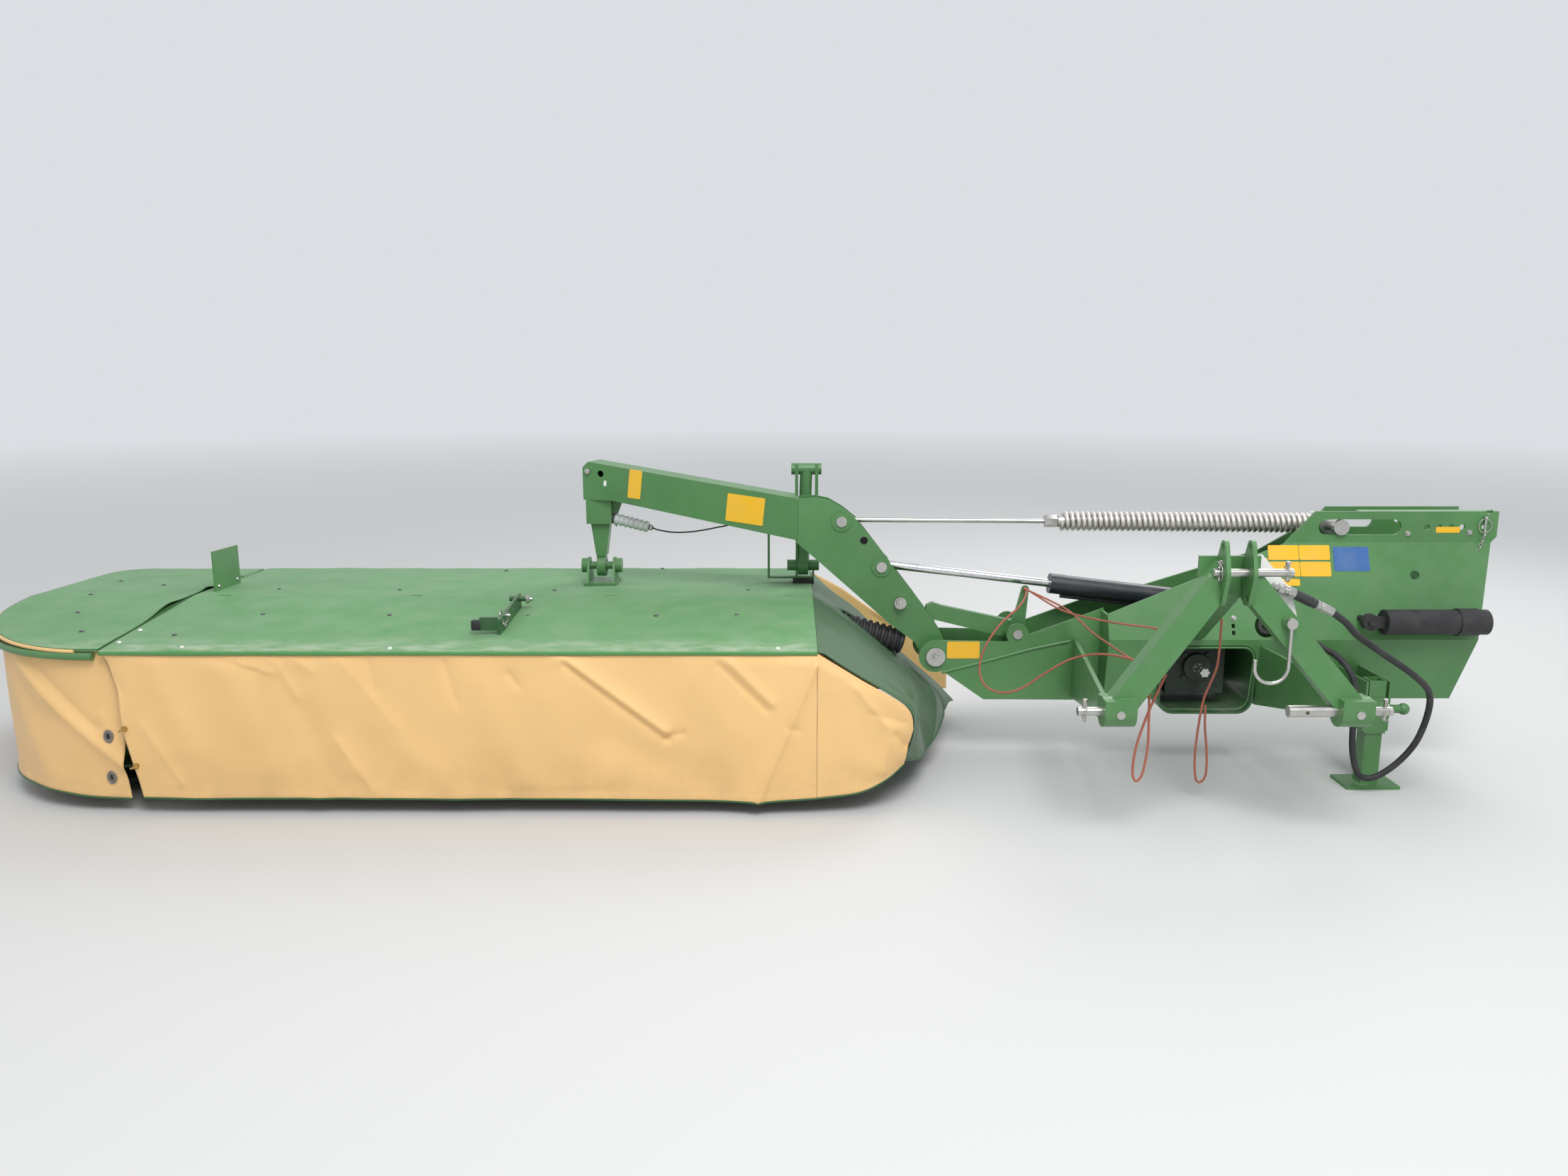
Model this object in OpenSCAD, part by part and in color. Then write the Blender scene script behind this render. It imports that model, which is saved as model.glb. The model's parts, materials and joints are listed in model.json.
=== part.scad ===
/* [Hitch] */
// Distance between the lower link pin shoulders
hitch_span = 825; // [800:1:850]
// Height of the lower link pins above the ground
hitch_pin_z = 436; // [420:1:450]
// Diameter of the lower link pins
link_pin_d = 28; // [24:1:30]
// Free length of each lower link pin
link_pin_len = 74; // [60:1:85]
// Outer diameter of the inward sleeve on the right pin
sleeve_d = 37; // [34:1:40]
// Length of the inward sleeve
sleeve_len = 150; // [120:1:170]
// Width of a leg of the A-frame
leg_w = 84; // [70:1:95]
// Depth of a leg of the A-frame
leg_d = 62; // [50:1:75]
// Inner gap between the two top link plates
mast_gap = 70; // [60:1:80]
// Thickness of a top link plate
mast_t = 13; // [10:1:16]
// Height of the middle top link hole
mast_hole_z = 860; // [850:1:870]
// Pitch of the three top link holes
mast_pitch = 80; // [70:1:84]
// Diameter of the top link pin
mast_pin_d = 25; // [22:0.5:25]

/* [Main frame] */
// Height of the top edge of the main frame
frame_top_z = 951; // [940:1:965]
// Thickness of the side plates
plate_t = 10; // [8:1:12]
// Inner width between the upper plates
frame_gap = 210; // [200:1:230]
// Depth of the belly in front of the upper plate
belly_depth = 140; // [120:1:160]
// Height of the upper fold
fold_top_z = 835; // [825:1:845]
// Height of the lower fold
fold_low_z = 490; // [480:1:500]
// Right end of the frame
frame_right_x = 2665; // [2655:1:2690]
// Length of the slot for the spring pin
slot_len = 309; // [300:1:320]
// Height of the slot
slot_h = 58; // [54:1:62]
// Width of the drive window
window_w = 340; // [320:1:350]
// Height of the drive window
window_h = 250; // [240:1:260]

/* [Boom] */
// Height of the boom pivot
pivot_z = 395; // [385:1:400]
// Diameter of the pivot pins
pivot_pin_d = 50; // [44:1:56]
// Thickness of the gooseneck plates
neck_t = 12; // [10:1:15]
// Outer width over the gooseneck plates
neck_w = 114; // [108:1:124]
// Height of the carrying arm at the gooseneck
arm_h = 158; // [155:1:165]
// Width of the carrying arm
arm_w = 120; // [110:1:130]
// Distance from the boom pivot to the hanger
reach = 1311; // [1300:1:1330]

/* [Cylinder and spring] */
// Diameter of the cylinder barrel
barrel_d = 76; // [70:1:80]
// Diameter of the cylinder rod
rod_d = 32; // [28:1:36]
// Outer diameter of the relief spring
spring_d = 76; // [70:1:80]
// Wire diameter of the relief spring
spring_wire = 14; // [12:1:15]
// Number of turns of the relief spring
spring_turns = 45; // [40:1:60]
// Diameter of the spring rod
spring_rod_d = 18; // [16:1:22]

/* [Cutter] */
// Number of rotors
rotor_count = 6; // [6:1:6]
// Distance between neighbouring rotors
rotor_pitch = 445; // [440:1:450]
// Radius of the blade tips
blade_r = 238; // [230:1:242]
// Height of the blades above the ground
blade_z = 84; // [80:1:88]
// Depth of the cutter bar
bar_depth = 270; // [250:1:280]
// Thickness of the cutter bar
bar_h = 48; // [44:1:52]
// Thickness of the skids
skid_t = 22; // [18:1:26]

/* [Covers] */
// Thickness of the covers
cover_t = 6; // [5:1:7]
// Height of the covers at the crease
cover_z = 622; // [618:1:626]
// Drop of the cover from the crease to the front edge
cover_drop = 56; // [50:1:62]
// Depth from the front edge to the crease
flap_depth = 650; // [640:1:660]
// Depth from the crease to the rear edge
rear_depth = 660; // [650:1:670]
// Ground clearance of the curtains
curtain_gap = 52; // [45:1:70]
// Thickness of the curtains
curtain_t = 5; // [4:1:6]
// Radius of the rounded outer end
end_r = 600; // [580:1:610]

/* [Stand] */
// Width of the foot plate
foot_w = 190; // [170:1:200]
// Width of the stand leg
stand_w = 60; // [50:1:66]

/* [Cords] */
// Diameter of the hydraulic hose
hose_d = 22; // [18:1:24]
// Diameter of the ropes
rope_d = 8; // [6:0.5:8]

/* [Hidden] */
$fn = 64;

// The frame's plates lie on both sides of the plane y = 0, which the boom swings in.
// x runs along the mower bar, and the tractor stands on the side of negative y.
left_end_x = -2877;
centre_x = (left_end_x + frame_right_x) / 2;
centre_y = -215;
fit = 0.05;
seat = 0.3;
hitch_x = 1395;
hitch_y = -968;
bracket_w = 98;
bracket_r = 48;
pivot_x = 577;
front_y = -frame_gap / 2;
belly_y = front_y - belly_depth;
green = [0.16, 0.40, 0.17];
dark_green = [0.10, 0.30, 0.13];
cream = [0.96, 0.78, 0.50];
steel = [0.78, 0.78, 0.76];
black = [0.10, 0.10, 0.11];
rope_red = [0.62, 0.27, 0.22];

// An outline drawn in x and z, made solid from y0 to y1
module xz(y0, y1) {
    translate([0, y1, 0]) rotate([90, 0, 0]) linear_extrude(y1 - y0) children();
}
// An outline drawn in y and z, made solid from x0 to x1
module yz(x0, x1) {
    translate([x0, 0, 0]) rotate([90, 0, 90]) linear_extrude(x1 - x0) children();
}
// An outline drawn in x and y, made solid from z0 to z1
module xy(z0, z1) {
    translate([0, 0, z0]) linear_extrude(z1 - z0) children();
}
// A round bar along x, y or z from a start point
module bar_x(p, len, d) { translate(p) rotate([0, 90, 0]) cylinder(d = d, h = len); }
module bar_y(p, len, d) { translate(p) rotate([-90, 0, 0]) cylinder(d = d, h = len); }
module bar_z(p, len, d) { translate(p) cylinder(d = d, h = len); }
// Turns +Z onto the line from p to q and starts there
module along(p, q) {
    v = q - p;
    translate(p) rotate([0, atan2(v.x, v.z), 0]) rotate([-asin(v.y / norm(v)), 0, 0]) children();
}
// A rectangular bar from p to q
module strut(p, q, w, d) {
    along(p, q) translate([-w / 2, -d / 2, 0]) cube([w, d, norm(q - p)]);
}
// A round bar from p to q
module rod(p, q, d) { along(p, q) cylinder(d = d, h = norm(q - p)); }
// A flat panel of thickness t through a few corner points
// Thin skin through rows of points; each row's inner face is moved by its own step
module skin(rows, steps) {
    n = len(rows);
    m = len(rows[0]);
    shell = concat([for (r = rows, p = r) p], [for (i = [0 : n - 1], p = rows[i]) p + steps[i]]);
    k = n * m;
    function at(i, j) = i * m + j;
    cells = [for (i = [0 : n - 2], j = [0 : m - 2]) [at(i, j), at(i, j + 1), at(i + 1, j + 1), at(i + 1, j)]];
    rim = concat([for (j = [0 : m - 2]) [at(0, j + 1), at(0, j)]],
        [for (j = [0 : m - 2]) [at(n - 1, j), at(n - 1, j + 1)]],
        [for (i = [0 : n - 2]) [at(i, 0), at(i + 1, 0)]], [for (i = [0 : n - 2]) [at(i + 1, m - 1), at(i,
            m - 1)]]);
    polyhedron(shell, concat([for (c = cells) [c[0], c[1], c[2]]], [for (c = cells) [c[0], c[2], c[3]]],
        [for (c = cells) [c[0] + k, c[2] + k, c[1] + k]], [for (c = cells) [c[0] + k, c[3] + k, c[2] + k]],
        [for (e = rim) [e[0], e[1], e[1] + k]], [for (e = rim) [e[0], e[1] + k, e[0] + k]]));
}
// Rings of a swept tube: each ring stands square to the route at its point
function unit(v) = v / norm(v);
function heading(r, i) = unit(r[min(i + 1, len(r) - 1)] - r[max(i - 1, 0)]);
function side_of(t) = unit(cross(t, abs(t.z) < 0.9 ? [0, 0, 1] : [0, 1, 0]));
// A smooth curve through the chosen points, with a few steps between each pair
function blend4(a, b, c, d, t) =
    0.5 * ((2 * b) + (c - a) * t + (2 * a - 5 * b + 4 * c - d) * t * t
    + (3 * b - a - 3 * c + d) * t * t * t);
function smooth(r, steps) = [for (i = [0 : len(r) - 2], s = [0 : steps - 1])
    blend4(r[max(i - 1, 0)], r[i], r[i + 1], r[min(i + 2, len(r) - 1)], s / steps),
    r[len(r) - 1]];
function carried(r, i) = i == 0 ? side_of(heading(r, 0))
    : let (u = carried(r, i - 1), t = heading(r, i)) unit(u - (u * t) * t);
module cord(route, d, sides) {
    ring = [for (i = [0 : len(route) - 1])
        let (t = heading(route, i), u = carried(route, i), v = cross(t, u))
        for (k = [0 : sides - 1]) route[i] + d / 2 * (u * cos(360 * k / sides) + v * sin(360 * k / sides))];
    rings = len(route);
    polyhedron(ring, concat(
        [[for (k = [0 : sides - 1]) k]],
        [[for (k = [sides - 1 : -1 : 0]) (rings - 1) * sides + k]],
        [for (i = [0 : rings - 2], k = [0 : sides - 1])
            [i * sides + k, (i + 1) * sides + k, (i + 1) * sides + (k + 1) % sides,
                i * sides + (k + 1) % sides]]));
}
module placed() { translate([-centre_x, -centre_y, 0]) children(); }

// Front face of the belly at a given height, less the seat of what is set against it
function belly_face(z) = z > fold_low_z
    ? front_y - plate_t - (belly_depth - plate_t) * (fold_top_z - z) / (fold_top_z - fold_low_z) - seat - 0.1
    : belly_y + 40 * (fold_low_z - z) / (fold_low_z - 255) - seat - 0.1;
hose_hook_x = 1554;
hose_hook_y = -946;

// Headstock
pin_left_x = hitch_x - hitch_span / 2;
pin_right_x = hitch_x + hitch_span / 2;
mast_half = mast_gap / 2 + mast_t;
mast_y = hitch_y + 63;
leg_foot_z = hitch_pin_z + 12;
leg_top_z = 872;
module leg(side) {
    foot = [hitch_x + side * (hitch_span / 2 - bracket_w / 2 - 6), hitch_y + 12, leg_foot_z];
    top = [hitch_x + side * (mast_half - 36), mast_y + 40, leg_top_z];
    strut(foot, top, leg_w, leg_d);
}
module link_bracket(side) {
    x0 = side < 0 ? pin_left_x : pin_right_x - bracket_w;
    bar_x([x0, hitch_y, hitch_pin_z], bracket_w, 2 * bracket_r);
    translate([x0, hitch_y - bracket_r, hitch_pin_z]) cube([bracket_w, 2 * bracket_r, 44]);
}
web_rear_left_x = 1100;
web_rear_right_x = 1762;
module side_web(side) {
    x_front = side < 0 ? pin_left_x + 12 : pin_right_x - 24;
    x_rear = side < 0 ? web_rear_left_x : web_rear_right_x;
    y_low = side < 0 ? front_y - plate_t - seat : belly_face(236);
    y_top = side < 0 ? front_y - plate_t - seat : belly_face(466);
    hull() {
        translate([x_front, hitch_y + 40, hitch_pin_z - 40]) cube([12, 20, 80]);
        yz(x_rear, x_rear + 12) polygon([[y_low - 20, 236], [y_low, 236], [y_top, 466], [y_top - 20, 466]]);
    }
}
module headstock() {
    color(green) placed() difference() {
        union() {
            for (side = [-1, 1]) {
                leg(side);
                link_bracket(side);
                side_web(side);
            }
            // Yoke behind the top link plates, with an arch below it
            difference() {
                translate([hitch_x - 96, mast_y + 58, 745]) cube([192, 14, 158]);
                bar_y([hitch_x, mast_y + 50, 730], 30, 116);
            }
            // Support from the yoke down to the belly
            hull() {
                yz(hitch_x - 38, hitch_x + 38) polygon([[mast_y + 60, 770], [mast_y + 72, 770],
                    [mast_y + 72, 840], [mast_y + 60, 840]]);
                yz(hitch_x + 72, hitch_x + 148) polygon([[belly_face(500) - 20, 500], [belly_face(500), 500],
                    [belly_face(556), 556], [belly_face(556) - 20, 556]]);
            }
            // Boss for the hose hook on the right leg
            bar_y([hose_hook_x, hose_hook_y, 711], 40, 40);
        }
        for (side = [-1, 1]) {
            bar_x([side < 0 ? pin_left_x - 1 : pin_right_x - bracket_w - 1, hitch_y, hitch_pin_z],
                bracket_w + 2, root_d + 2 * fit);
            // Clear of the top link plates
            translate([hitch_x + side * (mast_gap / 2 + mast_t / 2) - mast_t / 2 - seat, mast_y - 80, 700])
                cube([mast_t + 2 * seat, 80 + 58, 300]);
        }
        translate([hitch_x - mast_gap / 2, mast_y - 80, 700]) cube([mast_gap, 80 + 58, 300]);
        bar_x([hitch_x - mast_half - 60, mast_y, mast_hole_z], 2 * mast_half + 220, mast_pin_d + 2);
        bar_x([pin_right_x - bracket_w - 60, hitch_y, hitch_pin_z], 60, sleeve_d + 2 * fit);
    }
}
module mast_outline() {
    difference() {
        hull() {
            translate([mast_y, mast_hole_z + mast_pitch]) circle(22);
            translate([mast_y - 14, mast_hole_z]) circle(34);
            translate([mast_y + 24, mast_hole_z]) circle(34);
            translate([mast_y, mast_hole_z - mast_pitch]) circle(24);
        }
        for (k = [-1 : 1]) translate([mast_y, mast_hole_z + k * mast_pitch]) circle(d = mast_pin_d + 2 * fit);
    }
}
module top_link_bracket() {
    color(green) placed() for (side = [-1, 1]) {
        x0 = hitch_x + side * (mast_gap + mast_t) / 2 - mast_t / 2;
        yz(x0, x0 + mast_t) mast_outline();
    }
}
root_d = link_pin_d + 4;
module lower_link_pins() {
    color(steel) placed() {
        difference() {
            union() {
                bar_x([pin_left_x - link_pin_len, hitch_y, hitch_pin_z], link_pin_len - 2, link_pin_d);
                bar_x([pin_left_x - 3, hitch_y, hitch_pin_z], 4, link_pin_d - 2);
                bar_x([pin_left_x, hitch_y, hitch_pin_z], bracket_w, root_d);
            }
            bar_z([pin_left_x - link_pin_len + 22, hitch_y, hitch_pin_z - 20], 40, 11);
        }
        x1 = pin_right_x - bracket_w;
        difference() {
            union() {
                bar_x([x1 - 1, hitch_y, hitch_pin_z], bracket_w + 1, root_d);
                bar_x([pin_right_x - 1, hitch_y, hitch_pin_z], 4, link_pin_d - 2);
                bar_x([pin_right_x + 2, hitch_y, hitch_pin_z], link_pin_len - 2, link_pin_d);
                bar_x([x1 - sleeve_len, hitch_y, hitch_pin_z], sleeve_len, sleeve_d);
            }
            bar_z([pin_right_x + link_pin_len - 22, hitch_y, hitch_pin_z - 20], 40, 11);
            bar_y([x1 - sleeve_len * 0.64, hitch_y - 30, hitch_pin_z], 60, 12);
        }
    }
}
module top_link_pin() {
    color(steel) placed() difference() {
        bar_x([hitch_x - mast_half - 24, mast_y, mast_hole_z], 2 * mast_half + 150, mast_pin_d);
        bar_z([hitch_x - mast_half - 12, mast_y, mast_hole_z - 20], 40, 9);
    }
}

// Main frame
frame_left_x = pivot_x;
boss_r = 62;
hook_x = 888;
hook_z = 481;
belly_x = 1200;
slot_x = 1997;
slot_z = (frame_top_z + fold_top_z) / 2 - 1;
slope = (829 - 484) / (1872 - 943);
module cheek_outline() {
    difference() {
        union() {
            translate([pivot_x, pivot_z]) circle(boss_r);
            polygon([[pivot_x, pivot_z + boss_r], [843, 452], [943, 484],
                [belly_x + plate_t, 484 + (belly_x + plate_t - 943) * slope],
                [belly_x + plate_t, 223], [765, 225], [pivot_x + 26, pivot_z - 56.3]]);
            translate([hook_x, hook_z]) circle(42);
        }
        translate([pivot_x, pivot_z]) circle(d = pivot_pin_d + 2 * fit);
        translate([hook_x, hook_z]) circle(d = hook_pin_d + 2 * fit);
    }
}
module front_outline() {
    polygon([[belly_x, 484 + (belly_x - 943) * slope], [1872, 829], [1983, frame_top_z],
        [frame_right_x, frame_top_z],
        [frame_right_x, 856], [2645, fold_top_z - 1], [2562, fold_low_z], [2501, 255], [belly_x, 255]]);
}
module window_outline(grow) {
    w = window_w + 2 * grow;
    h = window_h + 2 * grow;
    r = 50 + grow;
    translate([window_x - w / 2, window_z - h / 2]) {
        translate([r, 0]) square([w - 2 * r, h]);
        translate([0, r]) square([w, h - 2 * r]);
        for (a = [r, w - r], b = [r, h - r]) translate([a, b]) circle(r);
    }
}
shaft_x = 1561;
shaft_z = 365;
window_x = shaft_x + 14;
window_z = 335;
grommet_x = 1783;
grommet_z = 539;
module slot_outline() {
    translate([slot_x + slot_h / 2, slot_z]) circle(d = slot_h);
    translate([slot_x + slot_len - slot_h / 2, slot_z]) circle(d = slot_h);
    translate([slot_x + slot_h / 2, slot_z - slot_h / 2]) square([slot_len - slot_h, slot_h]);
}
setting_holes = [2401, 2445, 2489, 2533];
module plate_holes() {
    slot_outline();
    for (x = setting_holes) translate([x, slot_z]) circle(d = 22);
    translate([2613, slot_z]) circle(d = 16);
}
module fold_band() {
    polygon([[front_y - plate_t, frame_top_z], [front_y - plate_t, fold_top_z], [belly_y, fold_low_z],
        [belly_y + 40, 255], [belly_y + 40 + plate_t, 255], [belly_y + plate_t, fold_low_z],
        [front_y, fold_top_z], [front_y, frame_top_z]]);
}
module front_plate() {
    color(green) placed() {
        difference() {
            union() {
                xz(front_y - plate_t, front_y) cheek_outline();
                intersection() {
                    xz(belly_y - 60, front_y + 60) front_outline();
                    yz(belly_x, frame_right_x + 20) fold_band();
                }
                // Web that closes the left end of the belly
                yz(belly_x, belly_x + plate_t) polygon([[front_y - 1, 255], [front_y - 1, 575],
                    [belly_y + 44, 575], [belly_y + 2, fold_low_z], [belly_y + 42, 255]]);
                // Flange along the top edge
                translate([2150, front_y - 1, frame_top_z - plate_t]) cube([frame_right_x - 2150, 40, plate_t]);
                // Lifting lug
                translate([2629, front_y, frame_top_z - 20]) rotate([90, 0, 0]) cylinder(r = 26, h = plate_t);
                translate([2603, front_y - plate_t, frame_top_z - 20]) cube([52, plate_t, 20]);
            }
            xz(front_y - plate_t - 5, front_y + 5) plate_holes();
            bar_y([2629, front_y - 20, frame_top_z - 6 + 4], 40, 20);
            xz(belly_y - 10, belly_y + 80) window_outline(8);
            bar_y([2350, belly_y - 10, 717], 200, 34);
            bar_y([grommet_x, belly_y - 10, grommet_z], 80, 84);
            for (z = [514, 538]) translate([1655, belly_y - 10, z - 8]) cube([13, 80, 16]);
        }
    }
}
module rear_plate() {
    y0 = frame_gap / 2;
    color(green) placed() difference() {
        union() {
            xz(y0, y0 + plate_t) cheek_outline();
            xz(y0, y0 + plate_t) polygon([[belly_x, 560], [1866, 771], [2073, 894], [2120, frame_top_z - 8],
                [2640, frame_top_z - 8], [2625, fold_top_z], [2545, fold_low_z], [2490, 255], [belly_x, 223]]);
        }
        xz(y0 - 5, y0 + plate_t + 5) plate_holes();
    }
}
barrel_eye = [1700, 20, 575];
module frame_webs() {
    y1 = frame_gap / 2;
    color(dark_green) placed() difference() {
        union() {
            translate([775, front_y + seat, 226]) cube([window_x - window_w / 2 - 10 - 775,
                frame_gap - 2 * seat, 8]);
            translate([window_x + window_w / 2 + 20, belly_y + 56, 257])
                cube([2485 - window_x - window_w / 2 - 20, y1 - belly_y - 56 - seat, 8]);
            // Tunnel of the drive window, back to the rear plate
            difference() {
                xz(belly_y + 14, y1 - seat) window_outline(8 - seat);
                xz(belly_y + 13, y1) window_outline(0);
            }
            // Bearing plates of the cylinder
            for (s = [-1, 1]) translate([1640, barrel_eye.y + s * 43 - 5, 470]) cube([130, 10, 150]);
            translate([1640, front_y + seat, 470]) cube([130, frame_gap - 2 * seat, 10]);
            // Cross web at the right end
            translate([2300, front_y + seat, 264]) cube([8, frame_gap - 2 * seat, 420]);
        }
        bar_y([barrel_eye.x, -70, barrel_eye.z], 160, 36 + 2 * fit);
        bar_x([window_x - window_w / 2 - 30, 0, 372], 60, 96 + 2 * fit);
    }
}
gear_y = -165;
module gearbox() {
    color([0.16, 0.17, 0.17]) placed() {
        difference() {
            union() {
                translate([shaft_x - 110, gear_y + 24, 258]) cube([220, 236,
                    window_z + window_h / 2 - seat - 258]);
                bar_y([shaft_x, gear_y, shaft_z], 30, 100);
                for (a = [45 : 90 : 315])
                    bar_y([shaft_x + 62 * cos(a), gear_y + 14, shaft_z + 62 * sin(a)], 12, 18);
            }
            bar_y([shaft_x, gear_y - 1, shaft_z], 60, 36 + 2 * fit);
        }
        // Output housing towards the boom pivot
        bar_x([1180, 0, 372], shaft_x - 109 - 1180, 96);
    }
}
module drive_shaft() {
    color(black) placed() {
        bar_x([660, 0, 372], 520 - seat, 56);
        bar_x([1130, 0, 372], 50 - seat, 76);
    }
}
module input_shaft() {
    color(steel) placed() {
        bar_y([shaft_x, gear_y - 6, shaft_z], 60, 36);
        difference() {
            bar_y([shaft_x, gear_y - 84, shaft_z], 80, 34.9);
            for (k = [0 : 5]) translate([shaft_x, 0, shaft_z]) rotate([0, 60 * k, 0])
                translate([-4.4, gear_y - 85, 14.6]) cube([8.8, 66, 6]);
            difference() {
                bar_y([shaft_x, gear_y - 66, shaft_z], 7, 40);
                bar_y([shaft_x, gear_y - 67, shaft_z], 9, 29.4);
            }
        }
    }
}
hook_pin_d = 30;
washer_d = 72;
module pivot_pins() {
    out = frame_gap / 2 + plate_t;
    color(steel) placed() for (s = [-1, 1]) {
        y_in = neck_w / 2 - neck_t - 8;
        bar_y([pivot_x, s < 0 ? -out : y_in, pivot_z], out - y_in, pivot_pin_d);
        bar_y([pivot_x, s < 0 ? -out - 14 : out, pivot_z], 14, washer_d);
        // Hook pin heads
        bar_y([hook_x, s < 0 ? -out - 6 : out, hook_z], 6, 36);
    }
    color(steel) placed() bar_y([hook_x, -out, hook_z], 2 * out, hook_pin_d);
    color(steel) placed() bar_y([barrel_eye.x, barrel_eye.y - 50, barrel_eye.z], 100, 36);
}

// Latch that locks the lifted boom, worked by a rope on its lever
hook_y = -26;
hook_w = 28;
hook_len = 353;
hook_rise = 13;
lever_eye = [919, -68, 648];
function hook_side(inset) = [[0, 30 - inset], [40, 34 - inset], [hook_len - 60, 30 - inset],
    [hook_len - 20, 34 - inset],
    [hook_len - inset, 18 - inset], [hook_len - inset, -16 + inset], [hook_len - 16 - inset, -38 + inset],
    [hook_len - 44, -30 + inset], [40, -34 + inset], [0, -30 + inset]];
module lock_hook() {
    color(green) placed() {
        difference() {
            union() {
                // Channel that opens to the rear
                xz(hook_y - hook_w / 2, hook_y + hook_w / 2) translate([hook_x, hook_z]) {
                    circle(34);
                    rotate(180 - hook_rise) mirror([0, 1]) polygon(hook_side(0));
                }
                bar_y([hook_x, -74, hook_z], 134, 52);
            }
            xz(hook_y - hook_w / 2 + 5, hook_y + hook_w / 2 + 1) translate([hook_x, hook_z])
                rotate(180 - hook_rise)
                mirror([0, 1]) intersection() {
                    polygon(hook_side(5));
                    translate([44, -60]) square([400, 120]);
                }
            bar_y([hook_x, -90, hook_z], 180, hook_pin_d + 2 * fit);
        }
        // Triangular lever for the rope
        difference() {
            xz(lever_eye.y - 4, lever_eye.y + 4) difference() {
                union() {
                    translate([lever_eye.x, lever_eye.z]) circle(14);
                    polygon([[hook_x - 46, hook_z + 6], [hook_x - 22, hook_z + 34], [hook_x - 4, hook_z + 84],
                        [lever_eye.x - 13.5, lever_eye.z + 4], [lever_eye.x + 13.5, lever_eye.z - 4],
                        [hook_x + 34, hook_z + 14], [hook_x + 26, hook_z - 20], [hook_x - 30, hook_z - 20]]);
                }
                translate([lever_eye.x, lever_eye.z]) circle(6);
            }
            bar_y([hook_x, lever_eye.y - 20, hook_z], 40, hook_pin_d + 2 * fit);
        }
    }
}

// Lift cylinder
rod_eye = [371, 20, 731];
cyl_axis = rod_eye - barrel_eye;
cyl_len = norm(cyl_axis);
gland_at = 676;
rod_in = 602;
module cylinder_barrel() {
    color(black) placed() difference() {
        union() {
            along(barrel_eye, rod_eye) {
                translate([0, 0, 24]) cylinder(d = barrel_d, h = gland_at - 24);
                translate([0, 0, gland_at - 60]) cylinder(d = barrel_d + 2, h = 60);
                translate([-barrel_d / 2 - 6, 0, 70]) cylinder(d = 16, h = gland_at - 120);
            }
            bar_y([barrel_eye.x, barrel_eye.y - 33, barrel_eye.z], 66, 66);
        }
        along(barrel_eye, rod_eye) translate([0, 0, 42]) cylinder(d = rod_d + 2 * fit, h = gland_at);
        bar_y([barrel_eye.x, -60, barrel_eye.z], 160, 36 + 2 * fit);
    }
}
module cylinder_rod() {
    color(steel) placed() {
        along(barrel_eye, rod_eye) translate([0, 0, rod_in]) cylinder(d = rod_d, h = cyl_len - rod_in - 14);
        bar_y([rod_eye.x, rod_eye.y - 24, rod_eye.z], 44, 58);
    }
}

// Relief spring with its rod and the pin that slides in the slot
neck_spring = [217, 0, 905];
slot_pin_x = 2077;
slot_pin_d = 44;
shoe_at = [slot_pin_x, 0, slot_z];
spring_start = 70;
spring_end = 1019;
module slot_pin() {
    out = frame_gap / 2 + plate_t;
    color(steel) placed() {
        bar_y([shoe_at.x, -out - 14, shoe_at.z], 2 * out + 28, slot_pin_d);
        for (s = [-1, 1]) bar_y([shoe_at.x, s < 0 ? -out - 14 : out - 14, shoe_at.z], 28, slot_h - 2 * seat);
    }
}
module relief_spring() {
    core_d = spring_d - 2 * spring_wire;
    pitch = (spring_end - spring_start) / spring_turns;
    color(steel) placed() difference() {
        union() {
            along(shoe_at, neck_spring) {
                // Coils drawn as a ribbed sleeve, one rib for each turn
                rotate_extrude() polygon(concat(
                    [[core_d / 2, spring_start], [core_d / 2, spring_end]],
                    [for (k = [spring_turns : -1 : 1], part = [0, 1, 2, 3])
                        [spring_d / 2 - [3.4, 0, 0, 3.4][part], spring_start + pitch * (k - [0, 0.22, 0.78,
                            1][part])]]));
                // End plug and nut
                translate([0, 0, spring_start - 10]) cylinder(d = core_d + 8, h = 30);
                translate([0, 0, spring_end - 40]) cylinder(d = core_d + 2, h = 52);
                translate([0, 0, spring_end + 10]) cylinder(d = 46, h = 34, $fn = 6);
            }
            bar_y([shoe_at.x, -40, shoe_at.z], 80, 84);
            strut(shoe_at, shoe_at + unit(neck_spring - shoe_at) * (spring_start + 4), 44, 60);
        }
        bar_y([shoe_at.x, -60, shoe_at.z], 120, slot_pin_d + 2 * fit);
        along(shoe_at, neck_spring) translate([0, 0, spring_start + 30])
            cylinder(d = spring_rod_d + 2 * fit, h = spring_end);
    }
}
module spring_rod() {
    color(steel) placed() {
        along(shoe_at, neck_spring) translate([0, 0, spring_end - 60])
            cylinder(d = spring_rod_d, h = norm(neck_spring - shoe_at) - spring_end + 60 - 12);
        bar_y([neck_spring.x, -26, neck_spring.z], 52, 44);
    }
}

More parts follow.
